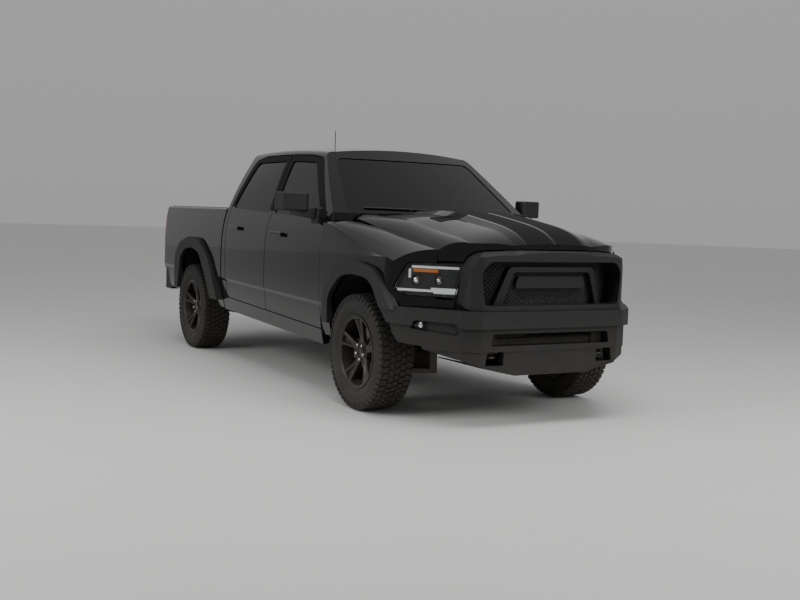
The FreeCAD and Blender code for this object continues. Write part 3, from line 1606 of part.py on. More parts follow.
# Dashboard with the console, fitted to the windscreen's curve
dash_half = 835.0
dash_outline = (
    (500.0, 1000.0),
    (500.0, 1352.0, 10.0),
    (860.0, 1352.0, 60.0),
    (985.0, 1290.0, 60.0),
    (960.0, 1000.0, 60.0),
    (800.0, 930.0, 60.0),
)
dash = side_prism(dash_outline, (-dash_half, dash_half))
dash = dash.common(cavity)
console = side_prism(
    [(820, cab_floor_z), (820, 1120, 60), (1150, 960, 60), (1650, 960, 60), (1650, cab_floor_z)],
    (-115, 115),
)

# Steering wheel and its column, on the left
wheel_x = 385.0
wheel_station = 1120.0
wheel_centre_z = 1200.0
wheel_tilt_deg = 25.0
rim_ring = 190.0
tilt = math.radians(wheel_tilt_deg)
column_axis = Vector(0, math.cos(tilt), math.sin(tilt))
wheel_centre = Vector(wheel_x, at_y(wheel_station), wheel_centre_z)
shaft_radius = 24.0
shaft_length = 215.0
shaft_end = wheel_centre - column_axis * (shaft_length + 6)
column_bore = Part.makeCylinder(shaft_radius + pin_clearance, shaft_length, shaft_end, column_axis)
nodes["dashboard"] = largest(fused([dash, console]).cut(column_bore))
ring_shape = Part.makeTorus(rim_ring, 15, Vector(0, 0, 0), Vector(0, 0, 1))
boss = Part.makeCylinder(62, 44, Vector(0, 0, -34))
shaft = Part.makeCylinder(shaft_radius, shaft_length, Vector(0, 0, -shaft_length))
spokes = [
    box((-rim_ring, -40), (-18, 18), (-12, 4)),
    box((40, rim_ring), (-18, 18), (-12, 4)),
    box((-18, 18), (-rim_ring, -40), (-12, 4)),
]
steering = fused([ring_shape, boss, shaft] + spokes)
steering.rotate(Vector(0, 0, 0), Vector(1, 0, 0), -(90 - wheel_tilt_deg))
steering.translate(wheel_centre)
nodes["steering_wheel"] = steering

# Door mirrors: a head on an arm from the corner of the window
mirror_station = 862.0
mirror_head_x = (1004.0, 1250.0)
mirror_head_z = (1404.0, 1548.0)
mirror_y = at_y(mirror_station)
head = prism_z(
    [
        (mirror_head_x[0], mirror_y + 48, 12),
        (mirror_head_x[0], mirror_y - 66, 34),
        (mirror_head_x[1] - 40, mirror_y - 26, 60),
        (mirror_head_x[1], mirror_y + 34, 24),
        (mirror_head_x[1] - 6, mirror_y + 76, 12),
    ],
    mirror_head_z,
)
mirror_base_x = skin_x(mirror_station, belt_z(mirror_station) - 10) - 30
mirror_arm = prism_y(
    [
        (mirror_base_x, 1338.0),
        (mirror_base_x - 10, 1424.0),
        (1140.0, 1424.0, 10),
        (1128.0, 1376.0, 24),
    ],
    (mirror_y - 34, mirror_y + 34),
)
mirror_foot = box((mirror_base_x - 14, mirror_base_x + 44), (mirror_y - 66, mirror_y + 54), (1308, 1436))
mirror = fused([head.makeFillet(14, head.Edges), mirror_arm, mirror_foot.makeFillet(12, mirror_foot.Edges)])
front_door_left = nodes["door_front_left"]
mirror = largest(mirror.cut(front_door_left).cut(nodes["door_glass_front_left"]))
nodes["mirror_left"] = mirror
nodes["mirror_right"] = mirrored(mirror)

# Wipers, resting low on the windscreen
wiper_radius = 7.0
wiper_clearance = 0.3
bow_radius = (bow_half**2 + bow_depth**2) / (2 * bow_depth)
screen_tilt = math.atan(screen_slope)
wiper_stand_off = (wiper_radius + wiper_clearance) / math.cos(screen_tilt) - glass_inset


def screen_point(x, z):
    """A wiper's centre over the windscreen at a place across and up it."""
    middle_y = at_y(screen_base_middle) + (z - screen_base_z) * screen_slope
    bow = bow_radius - math.sqrt(bow_radius**2 - x**2)
    return (x, middle_y + bow - wiper_stand_off, z)


wiper_rows = ((640.0, 1442.0, 20.0, 1440.0), (-60.0, 1440.0, -640.0, 1446.0))
wipers = []
for x0, z0, x1, z1 in wiper_rows:
    start, end = screen_point(x0, z0), screen_point(x1, z1)
    path = Part.Wire([arc(start, screen_point((x0 + x1) / 2, (z0 + z1) / 2), end)])
    round_end = Part.Wire(Part.makeCircle(wiper_radius, Vector(*start), Vector(*end) - Vector(*start)))
    wipers.append(path.makePipeShell([round_end], True, True))
nodes["wipers"] = Part.makeCompound(wipers)

# Antenna on the right front fender
antenna_foot = (-930.0, at_y(543), 1290.0)
antenna_top_z = 2005.0
mast = rod(3, antenna_foot, (antenna_foot[0], antenna_foot[1], antenna_top_z))
mast_base = Part.makeCone(20, 9, 40, Vector(*antenna_foot), Vector(0, 0, 1))
nodes["antenna"] = largest(fused([mast, mast_base]).cut(nodes["front_fenders"]))

os.makedirs("parts", exist_ok=True)
for name, shape in nodes.items():
    shape.exportStep(f"parts/{name}.step")
    print(name, len(shape.Solids), shape.isValid(), round(shape.Volume / 1e6, 2))
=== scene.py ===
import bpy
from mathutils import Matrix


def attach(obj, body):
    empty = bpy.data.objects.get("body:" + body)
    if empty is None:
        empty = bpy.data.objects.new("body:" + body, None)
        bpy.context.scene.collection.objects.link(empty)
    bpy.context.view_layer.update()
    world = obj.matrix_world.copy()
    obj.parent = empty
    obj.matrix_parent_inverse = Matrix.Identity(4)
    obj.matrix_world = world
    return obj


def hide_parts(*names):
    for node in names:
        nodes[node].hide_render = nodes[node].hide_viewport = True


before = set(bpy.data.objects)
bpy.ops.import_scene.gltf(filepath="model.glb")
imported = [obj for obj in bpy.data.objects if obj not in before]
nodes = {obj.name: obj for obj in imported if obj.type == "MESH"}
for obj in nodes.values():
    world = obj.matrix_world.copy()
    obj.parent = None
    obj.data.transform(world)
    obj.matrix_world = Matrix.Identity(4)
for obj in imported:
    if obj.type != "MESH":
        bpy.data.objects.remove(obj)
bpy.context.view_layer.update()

import math
import bpy
import bmesh
from mathutils import Matrix, Vector
from mathutils.bvhtree import BVHTree

scene = bpy.context.scene
bpy.ops.object.select_all(action="DESELECT")

# Studio: a pale floor under the truck, an even pale sky and three broad soft lamps.
# The camera stands low off the truck's right front corner, turned and tilted as the photographer held it.
camera_place = Vector((-4.4627, -8.5775, 1.4150))
camera_yaw, camera_pitch, camera_roll = 0.51977, -0.08183, 0.03323
camera_lens = 47.87
ahead = Vector((math.sin(camera_yaw) * math.cos(camera_pitch),
                math.cos(camera_yaw) * math.cos(camera_pitch), math.sin(camera_pitch)))
level = Vector((math.cos(camera_yaw), -math.sin(camera_yaw), 0))
upright = level.cross(ahead)
right = level * math.cos(camera_roll) + upright * math.sin(camera_roll)
above = upright * math.cos(camera_roll) - level * math.sin(camera_roll)
camera = bpy.data.objects.new("camera", bpy.data.cameras.new("camera"))
scene.collection.objects.link(camera)
camera.matrix_world = Matrix.Translation(camera_place) @ Matrix((right, above, -ahead)).transposed().to_4x4()
camera.data.lens, camera.data.sensor_width, camera.data.clip_end = camera_lens, 36, 200
scene.camera = camera


def add(tree, kind, **settings):
    """A shader node, with its properties and the values of its unlinked sockets."""
    made = tree.nodes.new("ShaderNode" + kind)
    for name, value in settings.items():
        if name in made.bl_rna.properties:
            setattr(made, name, value)
        else:
            made.inputs[name.replace("_", " ")].default_value = value
    return made


def linked(tree, *links):
    """Links shader nodes, each link given as a node, its output, the next node and its input."""
    for source, output, target, entry in links:
        tree.links.new(source.outputs[output], target.inputs[entry])


def finish_of(name, **values):
    """A new material, its tree, and its main shader with some of its sockets set."""
    made = bpy.data.materials.new(name)
    made.use_nodes = True
    shader = made.node_tree.nodes["Principled BSDF"]
    for key, value in values.items():
        shader.inputs[key.replace("_", " ")].default_value = value
    return made, made.node_tree, shader


floor_paint, tree, shader = finish_of("floor_paint", Roughness=0.75)
where = add(tree, "TexCoord")
mottle = add(tree, "TexNoise", Scale=0.6, Detail=3.0)
tone = add(tree, "ValToRGB")
tone.color_ramp.elements[0].color = (0.60, 0.60, 0.59, 1)
tone.color_ramp.elements[1].color = (0.64, 0.64, 0.63, 1)
linked(tree, (where, "Object", mottle, "Vector"), (mottle, "Fac", tone, "Fac"),
       (tone, "Color", shader, "Base Color"))
bpy.ops.mesh.primitive_circle_add(vertices=96, radius=60, fill_type="NGON", location=(0, 0, -0.001))
floor = bpy.context.object
floor.name = "floor"
floor.data.materials.append(floor_paint)

world = bpy.data.worlds.new("studio")
scene.world = world
world.use_nodes = True
tree = world.node_tree
sky = tree.nodes["Background"]
where = add(tree, "TexCoord")
height = add(tree, "SeparateXYZ")
tone = add(tree, "ValToRGB")
tone.color_ramp.elements[0].position, tone.color_ramp.elements[0].color = 0.0, (0.62, 0.62, 0.62, 1)
tone.color_ramp.elements[1].position, tone.color_ramp.elements[1].color = 0.7, (0.80, 0.80, 0.81, 1)
linked(tree, (where, "Generated", height, "Vector"), (height, "Z", tone, "Fac"),
       (tone, "Color", sky, "Color"))
sky.inputs["Strength"].default_value = 0.60

for lamp_name, place, size, power in (
    ("lamp_over", (-0.5, -4.2, 6.5), (6.0, 2.6), 260),
    ("lamp_side", (-7.5, -2.0, 4.2), (5.0, 2.2), 240),
    ("lamp_front", (2.5, -8.0, 4.0), (4.0, 2.0), 160),
):
    lamp = bpy.data.objects.new(lamp_name, bpy.data.lights.new(lamp_name, "AREA"))
    scene.collection.objects.link(lamp)
    lamp.data.shape, lamp.data.size, lamp.data.size_y = "RECTANGLE", size[0], size[1]
    lamp.data.energy = power
    lamp.location = place
    lamp.rotation_mode = "QUATERNION"
    lamp.rotation_quaternion = (Vector((0, 0, 0.8)) - Vector(place)).to_track_quat("-Z", "Y")


def group_of(name, inputs, outputs):
    """An empty shader node group with its sockets, and its input and output nodes."""
    made = bpy.data.node_groups.new(name, "ShaderNodeTree")
    for side, sockets in (("INPUT", inputs), ("OUTPUT", outputs)):
        for socket, kind, value in sockets:
            new = made.interface.new_socket(socket, in_out=side, socket_type="NodeSocket" + kind)
            if value is not None:
                new.default_value = value
    return made, made.nodes.new("NodeGroupInput"), made.nodes.new("NodeGroupOutput")


# Ladder frame: two boxed rails with cross members, pressed from steel and dipped in black wax.
# Road dust lies on every part near the ground in patches and specks, and thins out upwards.
road_dust, here, there = group_of(
    "road dust",
    [("Height", "Float", 0.9), ("Amount", "Float", 0.3), ("Clean", "Color", (0.01, 0.01, 0.01, 1)),
     ("Roughness", "Float", 0.3)],
    [("Color", "Color", None), ("Roughness", "Float", None), ("Mask", "Float", None)])
where = add(road_dust, "TexCoord")
parts = add(road_dust, "SeparateXYZ")
rise = add(road_dust, "Math", operation="DIVIDE")
fall = add(road_dust, "Math", operation="SUBTRACT", use_clamp=True)
fall.inputs[0].default_value = 1.0
patch = add(road_dust, "TexNoise", Scale=5.0, Detail=8.0, Roughness=0.65)
speck = add(road_dust, "TexNoise", Scale=160.0, Detail=3.0)
patchy = add(road_dust, "Math", operation="MULTIPLY")
speckled = add(road_dust, "Math", operation="MULTIPLY")
amount = add(road_dust, "Math", operation="MULTIPLY", use_clamp=True)
dusty = add(road_dust, "Mix", data_type="RGBA")
dusty.inputs["B"].default_value = (0.16, 0.135, 0.105, 1)
rough = add(road_dust, "Mix", data_type="FLOAT")
rough.inputs["B"].default_value = 0.85
linked(road_dust, (where, "Object", parts, "Vector"), (parts, "Z", rise, 0), (here, "Height", rise, 1),
       (rise, 0, fall, 1), (where, "Object", patch, "Vector"), (where, "Object", speck, "Vector"),
       (fall, 0, patchy, 0), (patch, "Fac", patchy, 1), (patchy, 0, speckled, 0),
       (speck, "Fac", speckled, 1), (speckled, 0, amount, 0), (here, "Amount", amount, 1),
       (amount, 0, dusty, "Factor"), (here, "Clean", dusty, "A"), (amount, 0, rough, "Factor"),
       (here, "Roughness", rough, "A"), (dusty, "Result", there, "Color"),
       (rough, "Result", there, "Roughness"), (amount, 0, there, "Mask"))

fine_grain, here, there = group_of(
    "fine grain", [("Scale", "Float", 300.0), ("Detail", "Float", 4.0)],
    [("Height", "Float", None), ("Tone", "Float", None)])
where = add(fine_grain, "TexCoord")
cells = add(fine_grain, "TexVoronoi")
cloud = add(fine_grain, "TexNoise", Scale=9.0)
linked(fine_grain, (where, "Object", cells, "Vector"), (here, "Scale", cells, "Scale"),
       (where, "Object", cloud, "Vector"), (here, "Detail", cloud, "Detail"),
       (cells, "Distance", there, "Height"), (cloud, "Fac", there, "Tone"))


def placed(tree, group, **values):
    """A node group put in a material, with its own values."""
    made = tree.nodes.new("ShaderNodeGroup")
    made.node_tree = group
    for key, value in values.items():
        made.inputs[key].default_value = value
    return made


def grained(name, colour, rough, scale=300.0, depth=0.15, dust=0.35, dust_height=1.1, **values):
    """A finish with a fine grain, an uneven tone and dust that thins out upwards."""
    made, tree, shader = finish_of(name, **values)
    grain = placed(tree, fine_grain, Scale=scale)
    tone = add(tree, "Mix", data_type="RGBA")
    tone.inputs["A"].default_value = (*[c * 0.8 for c in colour], 1)
    tone.inputs["B"].default_value = (*[min(1, c * 1.25) for c in colour], 1)
    dirt = placed(tree, road_dust, Amount=dust * 3, Height=dust_height, Roughness=rough)
    bump = add(tree, "Bump", Strength=depth, Distance=0.0006)
    linked(tree, (grain, "Tone", tone, "Factor"), (tone, "Result", dirt, "Clean"),
           (dirt, "Color", shader, "Base Color"), (dirt, "Roughness", shader, "Roughness"),
           (grain, "Height", bump, "Height"), (bump, "Normal", shader, "Normal"))
    return made


def dressed(finish, *names):
    for name in names:
        nodes[name].data.materials.clear()
        nodes[name].data.materials.append(finish)


frame_black = grained("waxed_black_steel", (0.018, 0.018, 0.018), 0.5, 180, 0.3, 0.8, 1.2, Metallic=0.3)
dressed(frame_black, "chassis_frame", "front_suspension", "rear_springs", "trailer_hitch")

# Axles, knuckles and shafts: cast and forged steel, left with its foundry skin under a thin coat.
# The casting grain is coarse, and the brake discs behind the wheels are turned bright.
cast_grey = grained("cast_iron_skin", (0.09, 0.088, 0.085), 0.62, 120, 0.5, 0.9, 1.0, Metallic=0.7)
dressed(cast_grey, "rear_axle", "knuckle_left", "knuckle_right", "drive_shafts", "engine_and_gearbox")
dressed(grained("aluminised_pipe", (0.30, 0.29, 0.27), 0.42, 90, 0.2, 0.7, 1.0, Metallic=0.9), "exhaust")
dressed(grained("moulded_tank", (0.012, 0.012, 0.013), 0.55, 220, 0.3, 0.8, 1.0), "fuel_tank")
dressed(grained("painted_hook", (0.016, 0.016, 0.016), 0.35, 240, 0.15, 0.4, 1.0, Metallic=0.2), "tow_hooks")

# Tyres: all-terrain truck tyres on 20-inch rims. The carcass is one spun rubber shell. Five staggered rows
# of tread blocks run round it, with shoulder lugs that reach down the sidewalls.
rubber = grained("tyre_rubber", (0.012, 0.012, 0.012), 0.78, 380, 0.25, 0.26, 0.9, Specular_IOR_Level=0.35)
front_axle_y, rear_axle_y, axle_z, half_track = -1.8935, 1.6755, 0.417, 0.872


def nothing_selected():
    """Object mode with nothing selected."""
    if bpy.context.object and bpy.context.object.mode == "EDIT":
        bpy.ops.object.mode_set(mode="OBJECT")
    bpy.ops.object.select_all(action="DESELECT")


def box_at(place, size):
    """A box round a place, with its place and size in its mesh."""
    nothing_selected()
    bpy.ops.mesh.primitive_cube_add(size=1, location=place, scale=size)
    bpy.ops.object.transform_apply()
    return bpy.context.object


def sheet(columns, rows):
    """A flat grid of one metre by one round the origin, to be laid on a surface."""
    nothing_selected()
    bpy.ops.mesh.primitive_grid_add(x_subdivisions=columns, y_subdivisions=rows, size=1)
    return bpy.context.object


def thickened(obj, wall, side=-1):
    """Gives a sheet its wall, behind it (-1), about it (0) or in front of it (1)."""
    shell = obj.modifiers.new("shell", "SOLIDIFY")
    shell.thickness, shell.offset = wall, side


def rounded(obj, width):
    """Rounds an object's sharp edges over."""
    round_over = obj.modifiers.new("round_over", "BEVEL")
    round_over.width, round_over.segments, round_over.limit_method = width, 2, "ANGLE"


def drum(sides, radius, depth, place, turn=(0, 0, 0)):
    """A cylinder round a place, upright unless turned, with all of it in its mesh."""
    nothing_selected()
    bpy.ops.mesh.primitive_cylinder_add(vertices=sides, radius=radius, depth=depth,
                                        location=place, rotation=turn)
    bpy.ops.object.transform_apply()
    return bpy.context.object


def picked(obj, kind, test):
    """Edit mode on one object, with only the faces, edges or vertices that pass a test selected."""
    nothing_selected()
    obj.select_set(True)
    bpy.context.view_layer.objects.active = obj
    bpy.ops.object.mode_set(mode="EDIT")
    bpy.context.tool_settings.mesh_select_mode = (kind == "VERT", kind == "EDGE", kind == "FACE")
    bpy.ops.mesh.select_all(action="DESELECT")
    mesh = bmesh.from_edit_mesh(obj.data)
    chosen = {"VERT": mesh.verts, "EDGE": mesh.edges, "FACE": mesh.faces}[kind]
    for one in chosen:
        one.select_set(test(one))
    mesh.select_flush_mode()
    bmesh.update_edit_mesh(obj.data)


def pressed(obj, way, *steps):
    """Insets the faces that look one way, in steps of a width and a rise."""
    picked(obj, "FACE", lambda f: f.normal.dot(Vector(way)) > 0.9)
    for width, rise in steps:
        bpy.ops.mesh.inset(thickness=width, depth=rise)
    bpy.ops.object.mode_set(mode="OBJECT")


def finished(obj, name, finish, angle=35.0):
    """Leaves edit mode, puts the place into the mesh, names the piece and gives it its finish."""
    if bpy.context.object and bpy.context.object.mode == "EDIT":
        bpy.ops.object.mode_set(mode="OBJECT")
    bpy.ops.object.select_all(action="DESELECT")
    obj.select_set(True)
    bpy.context.view_layer.objects.active = obj
    for modifier in list(obj.modifiers):
        bpy.ops.object.modifier_apply(modifier=modifier.name)
    bpy.ops.object.transform_apply()
    bpy.ops.object.shade_smooth_by_angle(angle=math.radians(angle))
    obj.name = name
    obj.data.name = name
    obj.data.materials.clear()
    obj.data.materials.append(finish)
    bpy.ops.object.select_all(action="DESELECT")
    return obj


def emptied():
    """A new object in edit mode without a mesh, and the mesh to build in it."""
    nothing_selected()
    bpy.ops.mesh.primitive_plane_add(size=0.001)
    bpy.ops.object.mode_set(mode="EDIT")
    bpy.ops.mesh.delete(type="VERT")
    return bpy.context.object, bmesh.from_edit_mesh(bpy.context.object.data)


def spun(profile, steps, name, closed=True):
    """A ring about the X axis, spun from a profile of places along X and radii."""
    ring, mesh = emptied()
    points = [mesh.verts.new((x, 0, r)) for x, r in profile]
    for a, b in zip(points, points[1:] + (points[:1] if closed else [])):
        mesh.edges.new((a, b))
    bmesh.update_edit_mesh(ring.data)
    bpy.ops.mesh.select_all(action="SELECT")
    bpy.ops.mesh.spin(steps=steps, angle=2 * math.pi, center=(0, 0, 0), axis=(1, 0, 0))
    bpy.ops.mesh.select_all(action="SELECT")
    bpy.ops.mesh.remove_doubles(threshold=0.00002)
    bpy.ops.mesh.normals_make_consistent(inside=False)
    bpy.ops.object.mode_set(mode="OBJECT")
    ring.name = name
    return ring


def copy_of(obj, name, matrix):
    """A copy with its own mesh, put in place by a matrix. A mirrored one has its faces turned right again."""
    made = obj.copy()
    made.data = obj.data.copy()
    made.name = name
    made.data.name = name
    scene.collection.objects.link(made)
    made.data.transform(matrix)
    if matrix.determinant() < 0:
        made.data.flip_normals()
    return made


def as_one(objects, name):
    """Several objects joined into the first."""
    nothing_selected()
    for one in objects:
        one.select_set(True)
    bpy.context.view_layer.objects.active = objects[0]
    bpy.ops.object.join()
    bpy.context.object.name = name
    return bpy.context.object


half_carcass = [(0.110, 0.256), (0.112, 0.268), (0.126, 0.288), (0.1325, 0.312), (0.1335, 0.330),
                (0.1315, 0.333), (0.1315, 0.352), (0.129, 0.372), (0.121, 0.389), (0.108, 0.4005),
                (0.060, 0.405)]
carcass = spun([(-x, r) for x, r in half_carcass] + [(0, 0.406)] + half_carcass[::-1], 90, "carcass")

# One pitch of the tread has its centre block, the next rows out, and the shoulder lugs. Each starts as a
# box, is skewed into its outline and gets a rim round its crown.
pitches = 54
pitch = 2 * math.pi / pitches
tread_blocks = []
for across, width, length, skew, along, crown in (
    (0.0, 0.034, 0.030, 0.010, 0.0, 0.4158), (0.043, 0.036, 0.033, -0.009, 0.5, 0.4154),
    (-0.043, 0.036, 0.033, 0.009, 0.5, 0.4154), (0.088, 0.040, 0.035, 0.007, 0.12, 0.4136),
    (-0.088, 0.040, 0.035, -0.007, 0.62, 0.4136),
):
    block = box_at((across, 0, crown - 0.0065), (width, length, 0.013))
    picked(block, "VERT", lambda v: v.co.x > across)
    bpy.ops.transform.translate(value=(0, skew, 0))
    pressed(block, (0, 0, 1), (0.0022, 0))
    block.data.transform(Matrix.Rotation(along * pitch, 4, "X"))
    tread_blocks.append(block)
for side in (1, -1):
    lug = box_at((side * 0.122, 0, 0.3995), (0.020, 0.034, 0.022))
    picked(lug, "VERT", lambda v: v.co.z < 0.399 and side * v.co.x > 0.122)
    bpy.ops.transform.translate(value=(side * 0.0005, 0, -0.014))
    picked(lug, "VERT", lambda v: v.co.z > 0.399 and side * v.co.x > 0.122)
    bpy.ops.transform.translate(value=(-side * 0.007, 0, -0.0012))
    picked(lug, "VERT", lambda v: side * v.co.x > 0.122)
    bpy.ops.transform.resize(value=(1, 0.86, 1))
    bpy.ops.object.mode_set(mode="OBJECT")
    lug.data.transform(Matrix.Rotation((0.12 if side > 0 else 0.62) * pitch, 4, "X"))
    tread_blocks.append(lug)
one_pitch = as_one(tread_blocks, "one_pitch")
bands = [copy_of(one_pitch, f"pitch_{i}", Matrix.Rotation(i * pitch, 4, "X")) for i in range(1, pitches)]
tyre = as_one([carcass, one_pitch] + bands, "tyre")
finished(tyre, "tyre", rubber, 38)
corners = {}
for corner, side, y in (("front_left", 1, front_axle_y), ("front_right", -1, front_axle_y),
                        ("rear_left", 1, rear_axle_y), ("rear_right", -1, rear_axle_y)):
    turn = Matrix() if side > 0 else Matrix.Rotation(math.pi, 4, "Z")
    corners[corner] = Matrix.Translation((side * half_track, y, axle_z)) @ turn
    rolled = Matrix.Rotation(0.05 * len(corners), 4, "X")
    made = copy_of(tyre, f"treaded_{corner}", corners[corner] @ rolled)
    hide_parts(f"tyre_{corner}")
    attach(made, f"wheel_{corner}")
spare_y, spare_z = 2.2505, 0.425
laid_flat = Matrix.Translation((0, spare_y, spare_z)) @ Matrix.Rotation(math.pi / 2, 4, "Y")
spare = copy_of(tyre, "spare_tyre", laid_flat)

# Alloy wheels: cast with five broad double-rib spokes, machined at the lip and lacquered black. Bright lug
# nuts sit in their wells round a plain cap, and a turned brake disc shows through the gaps.
gloss_alloy = grained("black_alloy", (0.007, 0.007, 0.0075), 0.24, 500, 0.04, 0.4, 0.9, Metallic=0.3)
bright_steel = grained("bright_steel", (0.55, 0.55, 0.54), 0.25, 300, 0.05, 0.3, 0.9, Metallic=1.0)
disc_steel = grained("turned_steel", (0.34, 0.33, 0.32), 0.38, 200, 0.1, 0.6, 0.9, Metallic=1.0)
barrel = spun([(-0.118, 0.262), (-0.110, 0.262), (-0.110, 0.2565), (0.110, 0.2565), (0.110, 0.262),
               (0.1175, 0.262), (0.1185, 0.258), (0.1185, 0.250), (0.112, 0.247), (0.108, 0.239),
               (0.082, 0.236), (-0.02, 0.222), (-0.088, 0.232), (-0.118, 0.248)], 90, "barrel")
hub = drum(40, 0.078, 0.045, (0.044, 0, 0), (0, math.pi / 2, 0))
pressed(hub, (1, 0, 0), (0.006, 0), (0.010, -0.004), (0.024, 0.003), (0.003, 0.010), (0.008, 0.004))
rows = ((0.055, 0.066, 0.0300), (0.090, 0.0715, 0.0270), (0.130, 0.0790, 0.0300), (0.180, 0.0915, 0.0400),
        (0.222, 0.1030, 0.0520), (0.246, 0.1105, 0.0600))
spoke, mesh = emptied()
grid = []
for radius, face_x, half in rows:
    rib = half * 0.52 if radius > 0.10 else half * 0.3
    dip = min(0.020, max(0.0, (radius - 0.085) * 0.22))
    section = [(-half, -0.030), (-half, -0.004), (-half + 0.005, 0), (-rib, -0.001), (-rib + 0.007, -dip),
               (rib - 0.007, -dip), (rib, -0.001), (half - 0.005, 0), (half, -0.004), (half, -0.030)]
    grid.append([mesh.verts.new((face_x + down, across, radius)) for across, down in section])
for a, b in zip(grid, grid[1:]):
    for i in range(len(a) - 1):
        mesh.faces.new((a[i], a[i + 1], b[i + 1], b[i]))
    mesh.faces.new((a[-1], a[0], b[0], b[-1]))
mesh.faces.new(grid[-1])
mesh.faces.new(list(reversed(grid[0])))
bmesh.update_edit_mesh(spoke.data)
bpy.ops.mesh.select_all(action="SELECT")
bpy.ops.mesh.normals_make_consistent(inside=False)
bpy.ops.object.mode_set(mode="OBJECT")
bevel = spoke.modifiers.new("bevel", "BEVEL")
bevel.width, bevel.segments, bevel.limit_method, bevel.angle_limit = 0.0022, 2, "ANGLE", math.radians(32)
nothing_selected()
spoke.select_set(True)
bpy.context.view_layer.objects.active = spoke
bpy.ops.object.modifier_apply(modifier="bevel")
fifth = 2 * math.pi / 5
spokes = [spoke] + [copy_of(spoke, f"spoke_{i}", Matrix.Rotation(i * fifth, 4, "X")) for i in range(1, 5)]
alloy = as_one([barrel, hub] + spokes, "alloy")
finished(alloy, "alloy", gloss_alloy, 30)

nut = drum(6, 0.0125, 0.030, (0.074, 0, 0.0558), (0, math.pi / 2, 0))
pressed(nut, (1, 0, 0), (0.002, 0.002), (0.003, 0.0012))
nuts = [nut] + [copy_of(nut, f"nut_{i}", Matrix.Rotation(i * fifth, 4, "X")) for i in range(1, 5)]
for one in nuts:
    one.data.transform(Matrix.Rotation(fifth / 2, 4, "X"))
nuts = as_one(nuts, "lug_nuts")
finished(nuts, "lug_nuts", bright_steel, 30)
disc = spun([(-0.034, 0.070), (-0.034, 0.178), (-0.0235, 0.178), (-0.0235, 0.150), (-0.0165, 0.150),
             (-0.0165, 0.178), (-0.006, 0.178), (-0.006, 0.098), (0.022, 0.094), (0.024, 0.060)], 72, "disc")
finished(disc, "disc", disc_steel, 30)
for corner, place in corners.items():
    made = copy_of(alloy, f"alloy_{corner}", place)
    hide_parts(f"wheel_{corner}")
    bright = copy_of(nuts, f"lug_nuts_{corner}", place)
    turned = copy_of(disc, f"brake_disc_{corner}", place)
    for piece in (made, bright, turned):
        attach(piece, f"wheel_{corner}")

# Spare wheel: the same tyre, laid flat under the bed on a plain pressed steel rim with a winch rod.
rim = drum(48, 0.256, 0.12, (0, spare_y, spare_z))
for up in (1, -1):
    pressed(rim, (0, 0, up), (0.020, 0), (0.030, -0.032), (0.100, 0.010), (0.030, 0.016))
winch = drum(16, 0.020, 0.170, (0, 2.2565, 0.560))
pressed(winch, (0, 0, -1), (0.004, 0.004))
rim = finished(as_one([rim, winch], "spare_rim"), "spare_rim", frame_black, 30)
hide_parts("spare_wheel")
for piece in (spare, rim):
    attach(piece, "truck")
for one in (tyre, alloy, nuts, disc):
    bpy.data.objects.remove(one)

# Body panels: pressed steel in deep gloss black, fine metal flake under a thick clear coat.
# The hood carries a matte black band over its dome, split by a thin line of the body's gloss.
gloss_black = (0.0028, 0.0028, 0.0031)


def lacquer(name, band=0.0):
    """Gloss black paint with flake and orange peel, left matte within a distance of the middle if asked."""
    made, tree, shader = finish_of(name, Coat_Roughness=0.02, Coat_IOR=1.40, Specular_IOR_Level=0.05)
    where = add(tree, "TexCoord")
    flake = add(tree, "TexVoronoi", Scale=2600.0)
    spark = add(tree, "ValToRGB")
    spark.color_ramp.elements[0].color = (*[c * 4.5 for c in gloss_black], 1)
    spark.color_ramp.elements[1].color = (*gloss_black, 1)
    spark.color_ramp.elements[1].position = 0.35
    peel = add(tree, "TexNoise", Scale=55.0, Detail=2.0)
    bump = add(tree, "Bump", Strength=0.03, Distance=0.001)
    dirt = placed(tree, road_dust, Amount=0.3, Height=0.8, Roughness=0.16)
    coat = add(tree, "Math", operation="SUBTRACT", use_clamp=True)
    coat.inputs[0].default_value = 1.0
    linked(tree, (where, "Object", flake, "Vector"), (flake, "Distance", spark, "Fac"),
           (where, "Object", peel, "Vector"), (peel, "Fac", bump, "Height"),
           (bump, "Normal", shader, "Normal"))
    if band:
        across = add(tree, "SeparateXYZ")
        side = add(tree, "Math", operation="ABSOLUTE")
        outer = add(tree, "Math", operation="LESS_THAN")
        outer.inputs[1].default_value = band
        inner = add(tree, "Math", operation="GREATER_THAN")
        inner.inputs[1].default_value = 0.012
        matte = add(tree, "Math", operation="MULTIPLY")
        shade = add(tree, "Mix", data_type="RGBA")
        shade.inputs["B"].default_value = (0.011, 0.011, 0.0115, 1)
        dull = add(tree, "Mix", data_type="FLOAT")
        dull.inputs["B"].default_value = 0.55
        both = add(tree, "Math", operation="MAXIMUM")
        linked(tree, (where, "Object", across, "Vector"), (across, "X", side, 0), (side, 0, outer, 0),
               (side, 0, inner, 0), (outer, 0, matte, 0), (inner, 0, matte, 1),
               (matte, 0, shade, "Factor"), (spark, "Color", shade, "A"),
               (shade, "Result", dirt, "Clean"), (dirt, "Color", shader, "Base Color"),
               (matte, 0, dull, "Factor"), (dirt, "Roughness", dull, "A"),
               (dull, "Result", shader, "Roughness"), (matte, 0, both, 0), (dirt, "Mask", both, 1),
               (both, 0, coat, 1), (coat, 0, shader, "Coat Weight"))
    else:
        linked(tree, (spark, "Color", dirt, "Clean"), (dirt, "Color", shader, "Base Color"),
               (dirt, "Roughness", shader, "Roughness"), (dirt, "Mask", coat, 1),
               (coat, 0, shader, "Coat Weight"))
    return made


